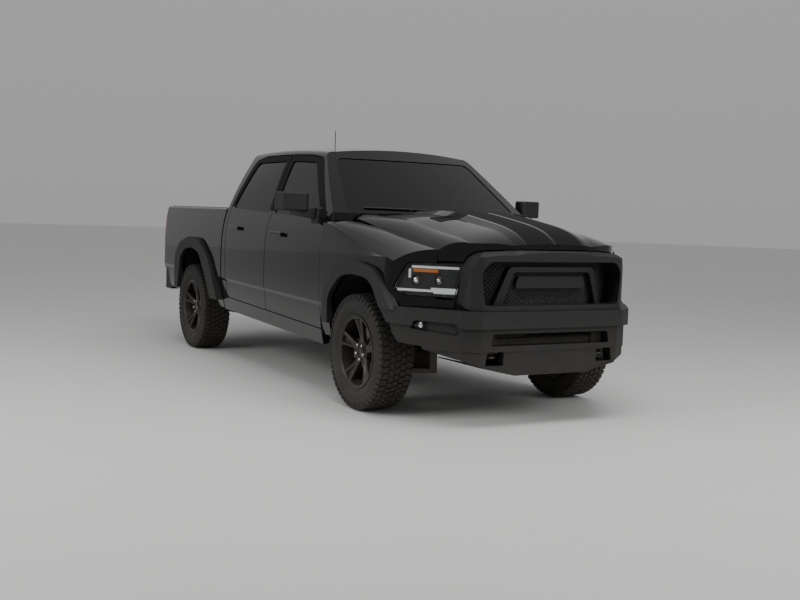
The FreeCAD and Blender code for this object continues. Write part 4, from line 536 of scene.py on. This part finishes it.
body_paint = lacquer("gloss_black_paint")
dressed(body_paint, "cab_shell", "front_fenders", "cargo_bed", "tailgate")
door_names = [f"door_{part}_{hand}" for part in ("front", "rear") for hand in ("left", "right")]
dressed(lacquer("door_paint", band=0.915), *door_names)
dressed(lacquer("hood_paint", band=0.236), "hood")

# Moulded trim: arch flares, bumpers, grille and mirror caps in grained black plastic.
trim_plastic = grained("grained_black_plastic", (0.009, 0.009, 0.0095), 0.52, 420, 0.35, 0.16, 1.0,
                       Specular_IOR_Level=0.35)
dressed(trim_plastic, "arch_flares", "arch_liners", "grille", "front_support", "front_bumper", "rear_bumper",
        "mirror_left", "mirror_right", "wipers", "antenna")

# Glass: tinted door and cab glass set in rubber, see-through but dark.
tinted, tree, shader = finish_of("tinted_glass", Roughness=0.02, IOR=1.5)
clear = add(tree, "BsdfTransparent", Color=(0.10, 0.11, 0.11, 1))
mirror_like = add(tree, "BsdfGlossy", Roughness=0.02, Color=(0.9, 0.9, 0.9, 1))
edge = add(tree, "Fresnel", IOR=1.5)
blend_both = add(tree, "MixShader")
out = tree.nodes["Material Output"]
linked(tree, (edge, 0, blend_both, 0), (clear, 0, blend_both, 1), (mirror_like, 0, blend_both, 2),
       (blend_both, 0, out, "Surface"))
dressed(tinted, "fixed_glass", *[name.replace("door", "door_glass") for name in door_names])

# Headlamps: sealed moulded units let into the fenders. A clear lens closes a black bucket with a stepped
# bezel, two projector lenses, an amber turn lamp and white light guides along its lower and upper edges.
def taken_from(node, name, keep):
    """A new piece from a CAD node's mesh, merged, with only the faces that pass a test."""
    made = bpy.data.objects.new(name, nodes[node].data.copy())
    scene.collection.objects.link(made)
    picked(made, "FACE", lambda f: False)
    bpy.ops.mesh.select_all(action="SELECT")
    bpy.ops.mesh.remove_doubles(threshold=0.00005)
    picked(made, "FACE", lambda f: not keep(f))
    bpy.ops.mesh.delete(type="FACE")
    bpy.ops.object.mode_set(mode="OBJECT")
    return made


def surface_of(node):
    """A search tree over a CAD node's faces."""
    data = nodes[node].data
    return BVHTree.FromPolygons([v.co for v in data.vertices], [p.vertices for p in data.polygons])


def on_lens(face):
    """The faces of the left headlamp that show at the nose."""
    return face.calc_center_median().x > 0 and face.normal.dot(Vector((0.5, -0.86, 0))) > 0.4


flip = Matrix.Scale(-1, 4, (1, 0, 0))


def both_sides(left):
    """A piece of the truck's left side, and its mirror image for the right."""
    return left, copy_of(left, left.name.replace("left", "right"), flip)


lamp_clear, tree, shader = finish_of("lamp_clear")
haze = placed(tree, fine_grain, Scale=60.0)
clear = add(tree, "BsdfTransparent")
tint = add(tree, "Mix", data_type="RGBA")
tint.inputs["A"].default_value = (0.90, 0.91, 0.92, 1)
tint.inputs["B"].default_value = (0.97, 0.97, 0.97, 1)
gleam = add(tree, "BsdfGlossy", Roughness=0.03)
edge = add(tree, "Fresnel", IOR=1.45)
blend_both = add(tree, "MixShader")
linked(tree, (haze, "Tone", tint, "Factor"), (tint, "Result", clear, "Color"), (edge, 0, blend_both, 0),
       (clear, 0, blend_both, 1), (gleam, 0, blend_both, 2),
       (blend_both, 0, tree.nodes["Material Output"], "Surface"))
bezel_black = grained("bezel_black", (0.012, 0.012, 0.013), 0.3, 500, 0.1, 0.0)
light_guide = grained("light_guide", (0.86, 0.87, 0.88), 0.2, 140, 0.3, 0.0,
                      Emission_Color=(1, 1, 1, 1), Emission_Strength=0.25)
amber = grained("amber_lens", (0.75, 0.22, 0.02), 0.15, 160, 0.4, 0.0,
                Emission_Color=(1, 0.3, 0.03, 1), Emission_Strength=0.12)
reflector = grained("bright_reflector", (0.62, 0.63, 0.64), 0.12, 200, 0.1, 0.0, Metallic=1.0)
patch = taken_from("headlamps", "lens_patch", on_lens)
reach = [v.co.x + v.co.y for v in patch.data.vertices]
inner_end, lamp_run = min(reach), max(reach) - min(reach)
lens_tree = BVHTree.FromPolygons([v.co for v in patch.data.vertices],
                                 [p.vertices for p in patch.data.polygons])
bpy.data.objects.remove(patch)
for name, depth, wall, along, up, lean, finish in (
    ("headlamp_lens", 0.0, 0.0025, (-1, 2), (0.8, 1.2), 0.0, lamp_clear),
    ("headlamp_bezel", 0.034, 0.003, (-1, 2), (0.8, 1.2), 0.0, bezel_black),
    ("headlamp_step", 0.020, 0.012, (0.02, 0.93), (0.868, 0.882), 0.0, bezel_black),
    ("headlamp_shelf", 0.020, 0.012, (0.04, 0.80), (1.030, 1.040), 0.0, bezel_black),
    ("headlamp_guide_outer", 0.009, 0.012, (0.42, 0.945), (0.895, 0.911), 0.0, light_guide),
    ("headlamp_guide_inner", 0.009, 0.012, (0.035, 0.425), (0.886, 0.924), 0.9, light_guide),
    ("headlamp_guide_upper", 0.009, 0.012, (0.06, 0.74), (1.052, 1.068), 0.0, light_guide),
    ("headlamp_guide_end", 0.009, 0.012, (0.755, 0.785), (0.985, 1.045), 0.0, light_guide),
    ("headlamp_turn", 0.013, 0.010, (0.36, 0.72), (1.026, 1.047), 0.0, amber),
):
    made = taken_from("headlamps", name, on_lens)
    low, high = (inner_end + lamp_run * u for u in along)
    for place, way in (((low, 0, 0.9), (-1, -1, lean)), ((high, 0, 0.9), (1, 1, -lean)),
                       ((0, 0, up[0]), (0, 0, -1)), ((0, 0, up[1]), (0, 0, 1))):
        picked(made, "FACE", lambda f: True)
        bpy.ops.mesh.bisect(plane_co=place, plane_no=way, clear_outer=True)
    bpy.ops.object.mode_set(mode="OBJECT")
    for vertex, away in zip(made.data.vertices, [v.normal.copy() for v in made.data.vertices]):
        vertex.co -= away * depth
    thickened(made, wall)
    finished(made, f"{name}_left", finish)
    for piece in both_sides(made):
        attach(piece, "truck")
bucket = taken_from("headlamps", "headlamp_bucket", lambda f: abs(f.normal.x) * 0.5 - f.normal.y * 0.86 < 0.4
                    or f.calc_center_median().x * f.normal.x < 0)
finished(bucket, "headlamp_bucket", bezel_black)
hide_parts("headlamps")
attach(bucket, "truck")
for name, x, z in (("inner", 0.725, 0.975), ("outer", 0.830, 0.972)):
    seat = lens_tree.ray_cast(Vector((x, -3.2, z)), Vector((0, 1, 0)))[0] + Vector((0.004, 0.046, 0))
    nothing_selected()
    bpy.ops.mesh.primitive_uv_sphere_add(segments=32, ring_count=16, radius=0.031, location=seat)
    ball = bpy.context.object
    bpy.ops.object.transform_apply()
    picked(ball, "FACE", lambda f: True)
    bpy.ops.mesh.bisect(plane_co=seat, plane_no=(0.3, 1, 0), clear_outer=True, use_fill=True)
    finished(ball, f"projector_{name}_left", reflector)
    bpy.ops.mesh.primitive_torus_add(major_segments=40, minor_segments=10, major_radius=0.036,
                                     minor_radius=0.006, location=seat, rotation=(math.pi / 2, 0, 0.29))
    rim = finished(bpy.context.object, f"projector_rim_{name}_left", bezel_black)
    for one in (ball, rim):
        for piece in both_sides(one):
            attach(piece, "truck")

# Fog lamps: small round projectors in the bumper's pockets, each a black tube with a bright domed face.
fog_x, fog_z = 0.872, 0.684
fog = drum(40, 0.027, 0.098, (fog_x, -2.549, fog_z), (math.pi / 2, 0, 0))
pressed(fog, (0, -1, 0), (0.003, 0), (0.001, -0.004))
finished(fog, "fog_lamp_left", bezel_black)
bpy.ops.mesh.primitive_uv_sphere_add(segments=32, ring_count=16, radius=0.0225,
                                     location=(fog_x, -2.594, fog_z), scale=(1, 0.30, 1))
fog_lens = finished(bpy.context.object, "fog_lens_left", reflector)
for one, slot in ((fog, "black_plastic"), (fog_lens, "clear_lens")):
    for piece in both_sides(one):
        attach(piece, "truck")
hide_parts("fog_lamps")

# Grille mesh: diamond mesh moulded in black plastic, clipped in front of the grille's back plate and behind
# the bumper's intake. It stops at the surround, the ring and the bar.
mesh_plastic = grained("mesh_plastic", (0.022, 0.022, 0.023), 0.42, 420, 0.2, 0.25, 1.0)
grille_tree, bumper_tree = surface_of("grille"), surface_of("front_bumper")


def seen_at(tree, x, z):
    """How far forward a surface lies at a place in the front view."""
    place = tree.ray_cast(Vector((x, -3.3, z)), Vector((0, 1, 0)))[0]
    return place.y if place else 9.0


samples = (0.0, 0.12, 0.24, 0.36, 0.48, 0.55)
for name, tree, half, low, high, cell, set_back, probe_z in (
    ("grille_mesh", grille_tree, 0.590, 0.828, 1.116, 0.021, -0.006, 0.880),
    ("intake_mesh", bumper_tree, 0.478, 0.562, 0.638, 0.018, 0.052, 0.660),
):
    depths = [seen_at(tree, x, probe_z) for x in samples]

    def depth_at(x):
        i = min(sum(1 for s in samples[1:-1] if s <= abs(x)), len(samples) - 2)
        share = (abs(x) - samples[i]) / (samples[i + 1] - samples[i])
        return depths[i] + (depths[i + 1] - depths[i]) * share

    nothing_selected()
    side = (2 * half + high - low) / math.sqrt(2)
    count = int(side / cell)
    bpy.ops.mesh.primitive_grid_add(x_subdivisions=count, y_subdivisions=count, size=side,
                                    location=(0, 0, (low + high) / 2), rotation=(math.pi / 2, math.pi / 4, 0))
    panel = bpy.context.object
    bpy.ops.object.transform_apply()
    picked(panel, "FACE", lambda f: any(
        abs(v.co.x) > half or not low < v.co.z < high
        or seen_at(tree, v.co.x, v.co.z) < depth_at(v.co.x) + min(set_back, 0) - 0.004 for v in f.verts))
    bpy.ops.mesh.delete(type="FACE")
    bpy.ops.object.mode_set(mode="OBJECT")
    for vertex in panel.data.vertices:
        vertex.co.y = depth_at(vertex.co.x) + set_back
    wires = panel.modifiers.new("wires", "WIREFRAME")
    wires.thickness = 0.0042
    finished(panel, name, mesh_plastic)
    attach(panel, "truck")

# Hood vents: black moulded inserts let into the hood on both sides of its dome, each with a frame and four
# slats that slope rearwards over the slots.
hood_tree = surface_of("hood")


def on_hood(x, y):
    """The hood's outer surface under a place in the plan."""
    return hood_tree.ray_cast(Vector((x, y, 3.0)), Vector((0, 0, -1)))[0]


def laid(name, x, y, lift, wall, cuts):
    """A thin plastic plate over a rectangle of the hood, following it."""
    nothing_selected()
    bpy.ops.mesh.primitive_grid_add(x_subdivisions=cuts[0], y_subdivisions=cuts[1], size=1,
                                    location=((x[0] + x[1]) / 2, (y[0] + y[1]) / 2, 0))
    plate = bpy.context.object
    plate.scale = (x[1] - x[0], y[1] - y[0], 1)
    bpy.ops.object.transform_apply()
    for vertex in plate.data.vertices:
        vertex.co.y += 0.05 * (vertex.co.x - x[0])
        vertex.co.z = on_hood(vertex.co.x, vertex.co.y).z + lift
    thickened(plate, wall, 1)
    rounded(plate, 0.001)
    return finished(plate, name, trim_plastic)


vent_x, vent_y = (0.248, 0.472), (-2.150, -2.010)
parts = [laid("vent_pan", vent_x, vent_y, 0.0004, 0.0012, (16, 8))]
border = 0.012
for i, (x, y) in enumerate((
    (vent_x, (vent_y[0], vent_y[0] + border)), (vent_x, (vent_y[1] - border, vent_y[1])),
    ((vent_x[0], vent_x[0] + border), vent_y), ((vent_x[1] - border, vent_x[1]), vent_y),
)):
    parts.append(laid(f"vent_frame_{i}", x, y, 0.0006, 0.0050, (16, 8)))
for i in range(4):
    y = vent_y[0] + 0.022 + i * 0.026
    slat_x = (vent_x[0] + 0.010, vent_x[1] - 0.010)
    slat = laid(f"vent_slat_{i}", slat_x, (y, y + 0.020), 0.0010, 0.0016, (16, 3))
    for vertex in slat.data.vertices:
        vertex.co.z += 0.0035 * (y + 0.024 - vertex.co.y) / 0.020
    parts.append(slat)
vent = as_one(parts, "hood_vent_left")
finished(vent, "hood_vent_left", trim_plastic)
for piece in both_sides(vent):
    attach(piece, "hood")

# Cowl: a slotted black moulding on the tray at the windscreen's foot, where the cabin's air is drawn in.
foot_y, foot_sweep, screen_half = -1.4235, 0.113, 0.745


def screen_foot(x):
    """The windscreen's foot along Y at a place across the truck."""
    return foot_y + foot_sweep * (x / screen_half) ** 2


cowl = sheet(96, 4)
for vertex in cowl.data.vertices:
    across = vertex.co.x * 1.40
    along = vertex.co.y + 0.5
    vertex.co = (across, screen_foot(across) - 0.046 + 0.042 * along, 1.3000 + 0.010 * along)
picked(cowl, "FACE", lambda f: 0.14 < abs(f.calc_center_median().x) < 0.60
       and -0.030 < f.calc_center_median().y - screen_foot(f.calc_center_median().x) < -0.014)
bpy.ops.mesh.inset(thickness=0.0022, use_individual=True)
bpy.ops.mesh.extrude_region_move(TRANSFORM_OT_translate={"value": (0, 0, -0.0035)})
bpy.ops.object.mode_set(mode="OBJECT")
finished(cowl, "cowl_moulding", trim_plastic)
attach(cowl, "truck")

# Mirror glasses: flat silvered plates with rounded corners, set in the back of each mirror's cap.
mirror_glass = grained("mirror_glass", (0.80, 0.82, 0.83), 0.03, 80, 0.0, 0.1, 1.0, Metallic=1.0)
mirror_tree = surface_of("mirror_left")
plate = sheet(12, 8)
for vertex in plate.data.vertices:
    x, z = 1.128 + vertex.co.x * 0.196, 1.476 + vertex.co.y * 0.106
    back = mirror_tree.ray_cast(Vector((x, 0, z)), Vector((0, -1, 0)))[0]
    vertex.co = (x, back.y + 0.0006, z)
thickened(plate, 0.003)
rounded(plate, 0.0012)
finished(plate, "mirror_glass_left", mirror_glass)
for piece, hand in zip(both_sides(plate), ("left", "right")):
    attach(piece, f"door_front_{hand}")

# Front seats and rear bench: foam pads in sewn black leather on black plinths. Each pad is a block blown up
# by its filling, with the seams of its middle panel and cross channels drawn in afterwards.
leather = grained("black_leather", (0.02, 0.02, 0.021), 0.46, 260, 0.5, 0.0)
seam_width, seam_depth = 0.008, 0.007


def stuffed(name, size, round_off, voxel, cap, seams):
    """A pad about the origin, thick along Z, with its seams as (axis, place) lines on its upper side."""
    pad = box_at((0, 0, 0), size)
    picked(pad, "EDGE", lambda e: True)
    bpy.ops.mesh.bevel(offset=round_off, segments=4, affect="EDGES")
    bpy.ops.object.mode_set(mode="OBJECT")
    remesh = pad.modifiers.new("remesh", "REMESH")
    remesh.mode, remesh.voxel_size = "VOXEL", voxel
    bpy.ops.object.modifier_apply(modifier="remesh")
    before = [v.co.copy() for v in pad.data.vertices]
    filling = pad.modifiers.new("filling", "CLOTH")
    filling.settings.use_pressure = True
    filling.settings.uniform_pressure_force = 4.0
    filling.settings.effector_weights.gravity = 0.0
    filling.point_cache.frame_end = 20
    for step in range(1, 21):
        scene.frame_set(step)
    bpy.ops.object.modifier_apply(modifier="filling")
    scene.frame_set(1)
    for vertex, start in zip(pad.data.vertices, before):
        move = vertex.co - start
        if move.length > cap:
            vertex.co = start + move * (cap / move.length)
    for vertex in pad.data.vertices:
        if vertex.co.z > 0:
            nearest = min(abs(abs(vertex.co[axis]) - place) for axis, place in seams)
            draw = math.exp(-(nearest / seam_width) ** 2)
            vertex.co.z -= seam_depth * draw * min(1, vertex.co.z / (size[2] * 0.4))
    smooth = pad.modifiers.new("smooth", "SUBSURF")
    smooth.levels = smooth.render_levels = 1
    finished(pad, name, leather, 60)
    return pad


def tipped(y, z, degrees):
    """Places a lying pad, tipped about the X axis."""
    return Matrix.Translation((0, y, z)) @ Matrix.Rotation(math.radians(degrees), 4, "X")


def leaned(y, z, degrees):
    """Stands a pad up with its sewn side forward, leaning back, at a place."""
    return tipped(y, z, 90 - degrees)


front_cushion = stuffed("front_cushion", (0.470, 0.450, 0.085), 0.026, 0.010, 0.020, [(0, 0.150), (1, 0.075)])
front_back = stuffed("front_back", (0.460, 0.560, 0.075), 0.026, 0.010, 0.020, [(0, 0.140), (1, 0.100)])
headrest = stuffed("headrest", (0.250, 0.140, 0.060), 0.022, 0.008, 0.010, [(0, 0.085)])
bench_cushion = stuffed("bench_cushion", (1.330, 0.450, 0.080), 0.026, 0.012, 0.018, [(0, 0.215), (1, 0.090)])
bench_back = stuffed("bench_back", (1.330, 0.560, 0.070), 0.026, 0.012, 0.018, [(0, 0.215), (1, 0.120)])
seat_middle, bench_rest_x = 0.385, 0.43
seat_places = []
for side, hand in ((1, "left"), (-1, "right")):
    shift = Matrix.Translation((side * seat_middle, 0, 0))
    bench_shift = Matrix.Translation((side * bench_rest_x, 0, 0))
    seat_places += [
        (front_cushion, f"seat_cushion_{hand}", shift @ tipped(-0.426, 0.955, -5), "front_seats"),
        (front_back, f"seat_back_{hand}", shift @ leaned(-0.126, 1.235, 11.5), "front_seats"),
        (headrest, f"seat_headrest_{hand}", shift @ leaned(-0.048, 1.618, 6), "front_seats"),
        (headrest, f"bench_headrest_{hand}", bench_shift @ leaned(0.718, 1.578, 5), "rear_seat"),
    ]
seat_places += [
    (bench_cushion, "bench_cushion_pad", tipped(0.405, 0.945, -3), "rear_seat"),
    (bench_back, "bench_back_pad", leaned(0.692, 1.215, 6), "rear_seat"),
]
for pad, name, place, node in seat_places:
    made = copy_of(pad, name, place)
    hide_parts(node)
    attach(made, "truck")
for pad in (front_cushion, front_back, headrest, bench_cushion, bench_back):
    bpy.data.objects.remove(pad)
base_plastic = grained("seat_base_plastic", (0.020, 0.020, 0.021), 0.55, 300, 0.3, 0.0)
for name, node, top in (("front_seat_bases", "front_seats", 0.898), ("bench_base", "rear_seat", 0.920)):
    base = taken_from(node, name, lambda f: True)
    picked(base, "FACE", lambda f: True)
    bpy.ops.mesh.bisect(plane_co=(0, 0, top), plane_no=(0, 0, 1), clear_outer=True, use_fill=True)
    finished(base, name, base_plastic)
    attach(base, "truck")
post_offset = 0.06
post_places = [side * bench_rest_x + way * post_offset for side in (-1, 1) for way in (-1, 1)]
for i, x in enumerate(post_places):
    post = drum(16, 0.006, 0.09, (x, 0.712, 1.498))
    picked(post, "FACE", lambda f: f.normal.z < -0.9)
    bpy.ops.mesh.inset(thickness=0.0, depth=0.0)
    bpy.ops.transform.resize(value=(1.6, 1.6, 1))
    finished(post, f"headrest_post_{i}", bright_steel)
    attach(post, "truck")

# Tail lamps: tall red lenses let into the bed's rear corners, each with two moulded red blocks round a
# clear reversing lamp, standing a little proud of the lens.
red_lens = grained("red_lens", (0.26, 0.006, 0.006), 0.10, 90, 0.25, 0.05, 1.0, Coat_Weight=0.6)
dressed(red_lens, "tail_lamps")
tail_tree = surface_of("tail_lamps")
for name, low, high, finish, slot in (
    ("tail_stop", 1.080, 1.236, red_lens, "red_lens"),
    ("tail_reverse", 0.976, 1.066, lamp_clear, "clear_lens"),
    ("tail_turn", 0.862, 0.962, red_lens, "red_lens"),
    ("tail_reflector", 0.980, 1.062, reflector, "grey_steel"),
):
    block = sheet(6, 10)
    for vertex in block.data.vertices:
        x, z = 0.880 + vertex.co.x * 0.052, (low + high) / 2 + vertex.co.y * (high - low)
        rear = tail_tree.ray_cast(Vector((x, 3.3, z)), Vector((0, -1, 0)))[0]
        vertex.co = (x, rear.y + (0.0002 if finish == reflector else 0.0016), z)
    thickened(block, 0.0012 if finish == reflector else 0.004)
    rounded(block, 0.0008)
    finished(block, f"{name}_left", finish)
    for piece in both_sides(block):
        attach(piece, "truck")

# Tailgate handle: a black moulded frame with a pull bar over its finger space. It is screwed to the middle
# of the gate.
gate_y = 2.7395
handle = box_at((0, gate_y + 0.0035, 1.285), (0.290, 0.007, 0.082))
pressed(handle, (0, 1, 0), (0.012, 0), (0.003, -0.005))
pull = box_at((0, gate_y + 0.0065, 1.297), (0.236, 0.009, 0.030))
pressed(pull, (0, 1, 0), (0.006, 0.003))
handle = as_one([handle, pull], "tailgate_handle")
rounded(handle, 0.0012)
finished(handle, "tailgate_handle", trim_plastic)
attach(handle, "tailgate")

# Bed trim: grained caps along the side rails, long pressed ribs on the floor and a forged tie-down ring in
# each corner, all fixed to the bed.
bed_front_y, bed_rear_y = 0.925, 2.660
trim_parts = []
for i in range(15):
    rib = box_at((-0.560 + i * 0.080, 1.82, 0.9125), (0.036, 1.58, 0.005))
    picked(rib, "FACE", lambda f: f.normal.z > 0.9)
    bpy.ops.mesh.inset(thickness=0.006, depth=0.0)
    bpy.ops.transform.translate(value=(0, 0, 0.0025))
    bpy.ops.object.mode_set(mode="OBJECT")
    trim_parts.append(rib)
ribs = finished(as_one(trim_parts, "bed_floor_ribs"), "bed_floor_ribs", frame_black)
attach(ribs, "truck")
cap = box_at((0.8650, (bed_front_y + bed_rear_y) / 2, 1.4065), (0.066, bed_rear_y - bed_front_y, 0.005))
pressed(cap, (0, 0, 1), (0.008, 0.0015), (0.012, 0), (0.002, -0.0012))
finished(cap, "bed_rail_cap_left", trim_plastic)
for piece in both_sides(cap):
    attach(piece, "truck")
for i, (side, y) in enumerate(((1, 1.02), (1, 2.56), (-1, 1.02), (-1, 2.56))):
    bpy.ops.mesh.primitive_torus_add(major_segments=28, minor_segments=10, major_radius=0.024,
                                     minor_radius=0.0045, location=(side * 0.8185, y, 1.150),
                                     rotation=(0, math.pi / 2, 0))
    ring = bpy.context.object
    bpy.ops.object.transform_apply()
    foot = box_at((side * 0.8240, y, 1.176), (0.007, 0.060, 0.030))
    pressed(foot, (-side, 0, 0), (0.008, 0.004))
    tie = finished(as_one([ring, foot], f"tie_down_{i}"), f"tie_down_{i}", frame_black)
    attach(tie, "truck")

# Fuel flap: a square painted flap with round corners in the bed's left side, over the filler neck.
bed_tree = surface_of("cargo_bed")
flap = sheet(10, 10)
for vertex in flap.data.vertices:
    y, z = 1.060 + vertex.co.x * 0.170, 1.140 + vertex.co.y * 0.170
    corner = max(0, abs(vertex.co.x) - 0.35) * max(0, abs(vertex.co.y) - 0.35) * 2.2
    y -= math.copysign(corner * 0.17, vertex.co.x)
    z -= math.copysign(corner * 0.17, vertex.co.y)
    out = bed_tree.ray_cast(Vector((1.5, y, z)), Vector((-1, 0, 0)))[0]
    vertex.co = (out.x + 0.0004, y, z)
thickened(flap, 0.0022)
finished(flap, "fuel_flap", body_paint)
picked(flap, "FACE", lambda f: True)
bpy.ops.mesh.normals_make_consistent(inside=False)
bpy.ops.object.mode_set(mode="OBJECT")
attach(flap, "truck")

# Wiper arms: painted steel arms from their spindles on the cowl to the middle of each blade, with a round
# knuckle over each spindle.
for i, (spindle, blade) in enumerate((
    ((0.560, -1.392, 1.330), (0.330, -1.462, 1.446)), ((-0.100, -1.445, 1.330), (-0.350, -1.460, 1.448)),
)):
    start, end = Vector(spindle), Vector(blade)
    run = end - start
    nothing_selected()
    bpy.ops.mesh.primitive_cube_add(size=1)
    arm = bpy.context.object
    picked(arm, "FACE", lambda f: True)
    bpy.ops.transform.resize(value=(0.014, run.length, 0.007))
    picked(arm, "VERT", lambda v: v.co.y > 0)
    bpy.ops.transform.resize(value=(0.55, 1, 0.7))
    picked(arm, "EDGE", lambda e: True)
    bpy.ops.mesh.bevel(offset=0.0015, segments=2, affect="EDGES")
    bpy.ops.object.mode_set(mode="OBJECT")
    aimed = run.to_track_quat("Y", "Z").to_matrix().to_4x4()
    arm.data.transform(Matrix.Translation((start + end) / 2) @ aimed)
    knob = drum(24, 0.012, 0.018, start)
    pressed(knob, (0, 0, 1), (0.003, 0.003))
    arm = finished(as_one([arm, knob], f"wiper_arm_{i}"), f"wiper_arm_{i}", trim_plastic)
    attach(arm, "truck")

# Dashboard: grained moulding with a console. A glass-fronted screen, four louvred air vents and the
# instruments' dark cover are clipped into it, and the steering wheel is wrapped in leather.
cabin_plastic = grained("cabin_plastic", (0.03, 0.03, 0.031), 0.6, 320, 0.4, 0.0)
screen_black = grained("screen_glass", (0.004, 0.004, 0.005), 0.06, 120, 0.0, 0.0, Coat_Weight=0.8)
dressed(leather, "steering_wheel")
dressed(cabin_plastic, "dashboard")
dash_tree = surface_of("dashboard")
for name, x, z, width, tall, slats, finish, slot in (
    ("dash_screen", 0.0, 1.165, 0.225, 0.170, 0, screen_black, "clear_lens"),
    ("dash_vent_0", -0.190, 1.235, 0.110, 0.058, 5, cabin_plastic, "cabin_plastic"),
    ("dash_vent_1", 0.190, 1.235, 0.110, 0.058, 5, cabin_plastic, "cabin_plastic"),
    ("dash_vent_2", -0.720, 1.235, 0.110, 0.058, 5, cabin_plastic, "cabin_plastic"),
    ("dash_vent_3", 0.720, 1.235, 0.110, 0.058, 5, cabin_plastic, "cabin_plastic"),
    ("dash_gauges", 0.385, 1.250, 0.250, 0.066, 0, screen_black, "clear_lens"),
):
    plate = sheet(4, max(2 * slats + 1, 3))
    for vertex in plate.data.vertices:
        across, up = x + vertex.co.x * width, z + vertex.co.y * tall
        back = dash_tree.ray_cast(Vector((across, 0.4, up)), Vector((0, -1, 0)))[0]
        vertex.co = (across, back.y + 0.0008, up)
    if slats:
        rows = [z + tall * ((i + 0.5) / (2 * slats + 1) - 0.5) for i in range(1, 2 * slats, 2)]
        picked(plate, "FACE", lambda f: min(abs(f.calc_center_median().z - row) for row in rows) < 0.002
               and abs(f.calc_center_median().x - x) < width * 0.40)
        bpy.ops.mesh.inset(thickness=0.0008)
        bpy.ops.transform.translate(value=(0, 0.004, 0.001))
        bpy.ops.object.mode_set(mode="OBJECT")
    thickened(plate, 0.003)
    rounded(plate, 0.0008)
    finished(plate, name, finish)
    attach(plate, "truck")

# Door cards: grained moulded panels clipped to the doors' inner sides, each with an armrest and a map
# pocket.
for part, y_from, y_to in (("front", -1.040, -0.290), ("rear", 0.010, 0.590)):
    card_tree = surface_of(f"door_{part}_left")
    card = sheet(24, 24)
    for vertex in card.data.vertices:
        y = (y_from + y_to) / 2 + vertex.co.x * (y_to - y_from)
        z = 0.960 + vertex.co.y * 0.560
        inner = card_tree.ray_cast(Vector((0, y, z)), Vector((1, 0, 0)))[0]
        vertex.co = (inner.x - 0.0045, y, z)
    picked(card, "FACE", lambda f: True)
    bpy.ops.mesh.normals_make_consistent(inside=False)
    for low, high, depth in ((0.955, 1.010, 0.042), (0.735, 0.830, 0.018)):
        picked(card, "FACE", lambda f: low < f.calc_center_median().z < high
               and y_from + 0.10 < f.calc_center_median().y < y_to - 0.08)
        bpy.ops.mesh.extrude_region_move(TRANSFORM_OT_translate={"value": (-depth, 0, 0)})
        bpy.ops.transform.resize(value=(1, 0.96, 0.80))
    bpy.ops.object.mode_set(mode="OBJECT")
    thickened(card, 0.004, 0)
    rounded(card, 0.0012)
    finished(card, f"door_card_{part}_left", cabin_plastic)
    for piece, hand in zip(both_sides(card), ("left", "right")):
        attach(piece, f"door_{part}_{hand}")
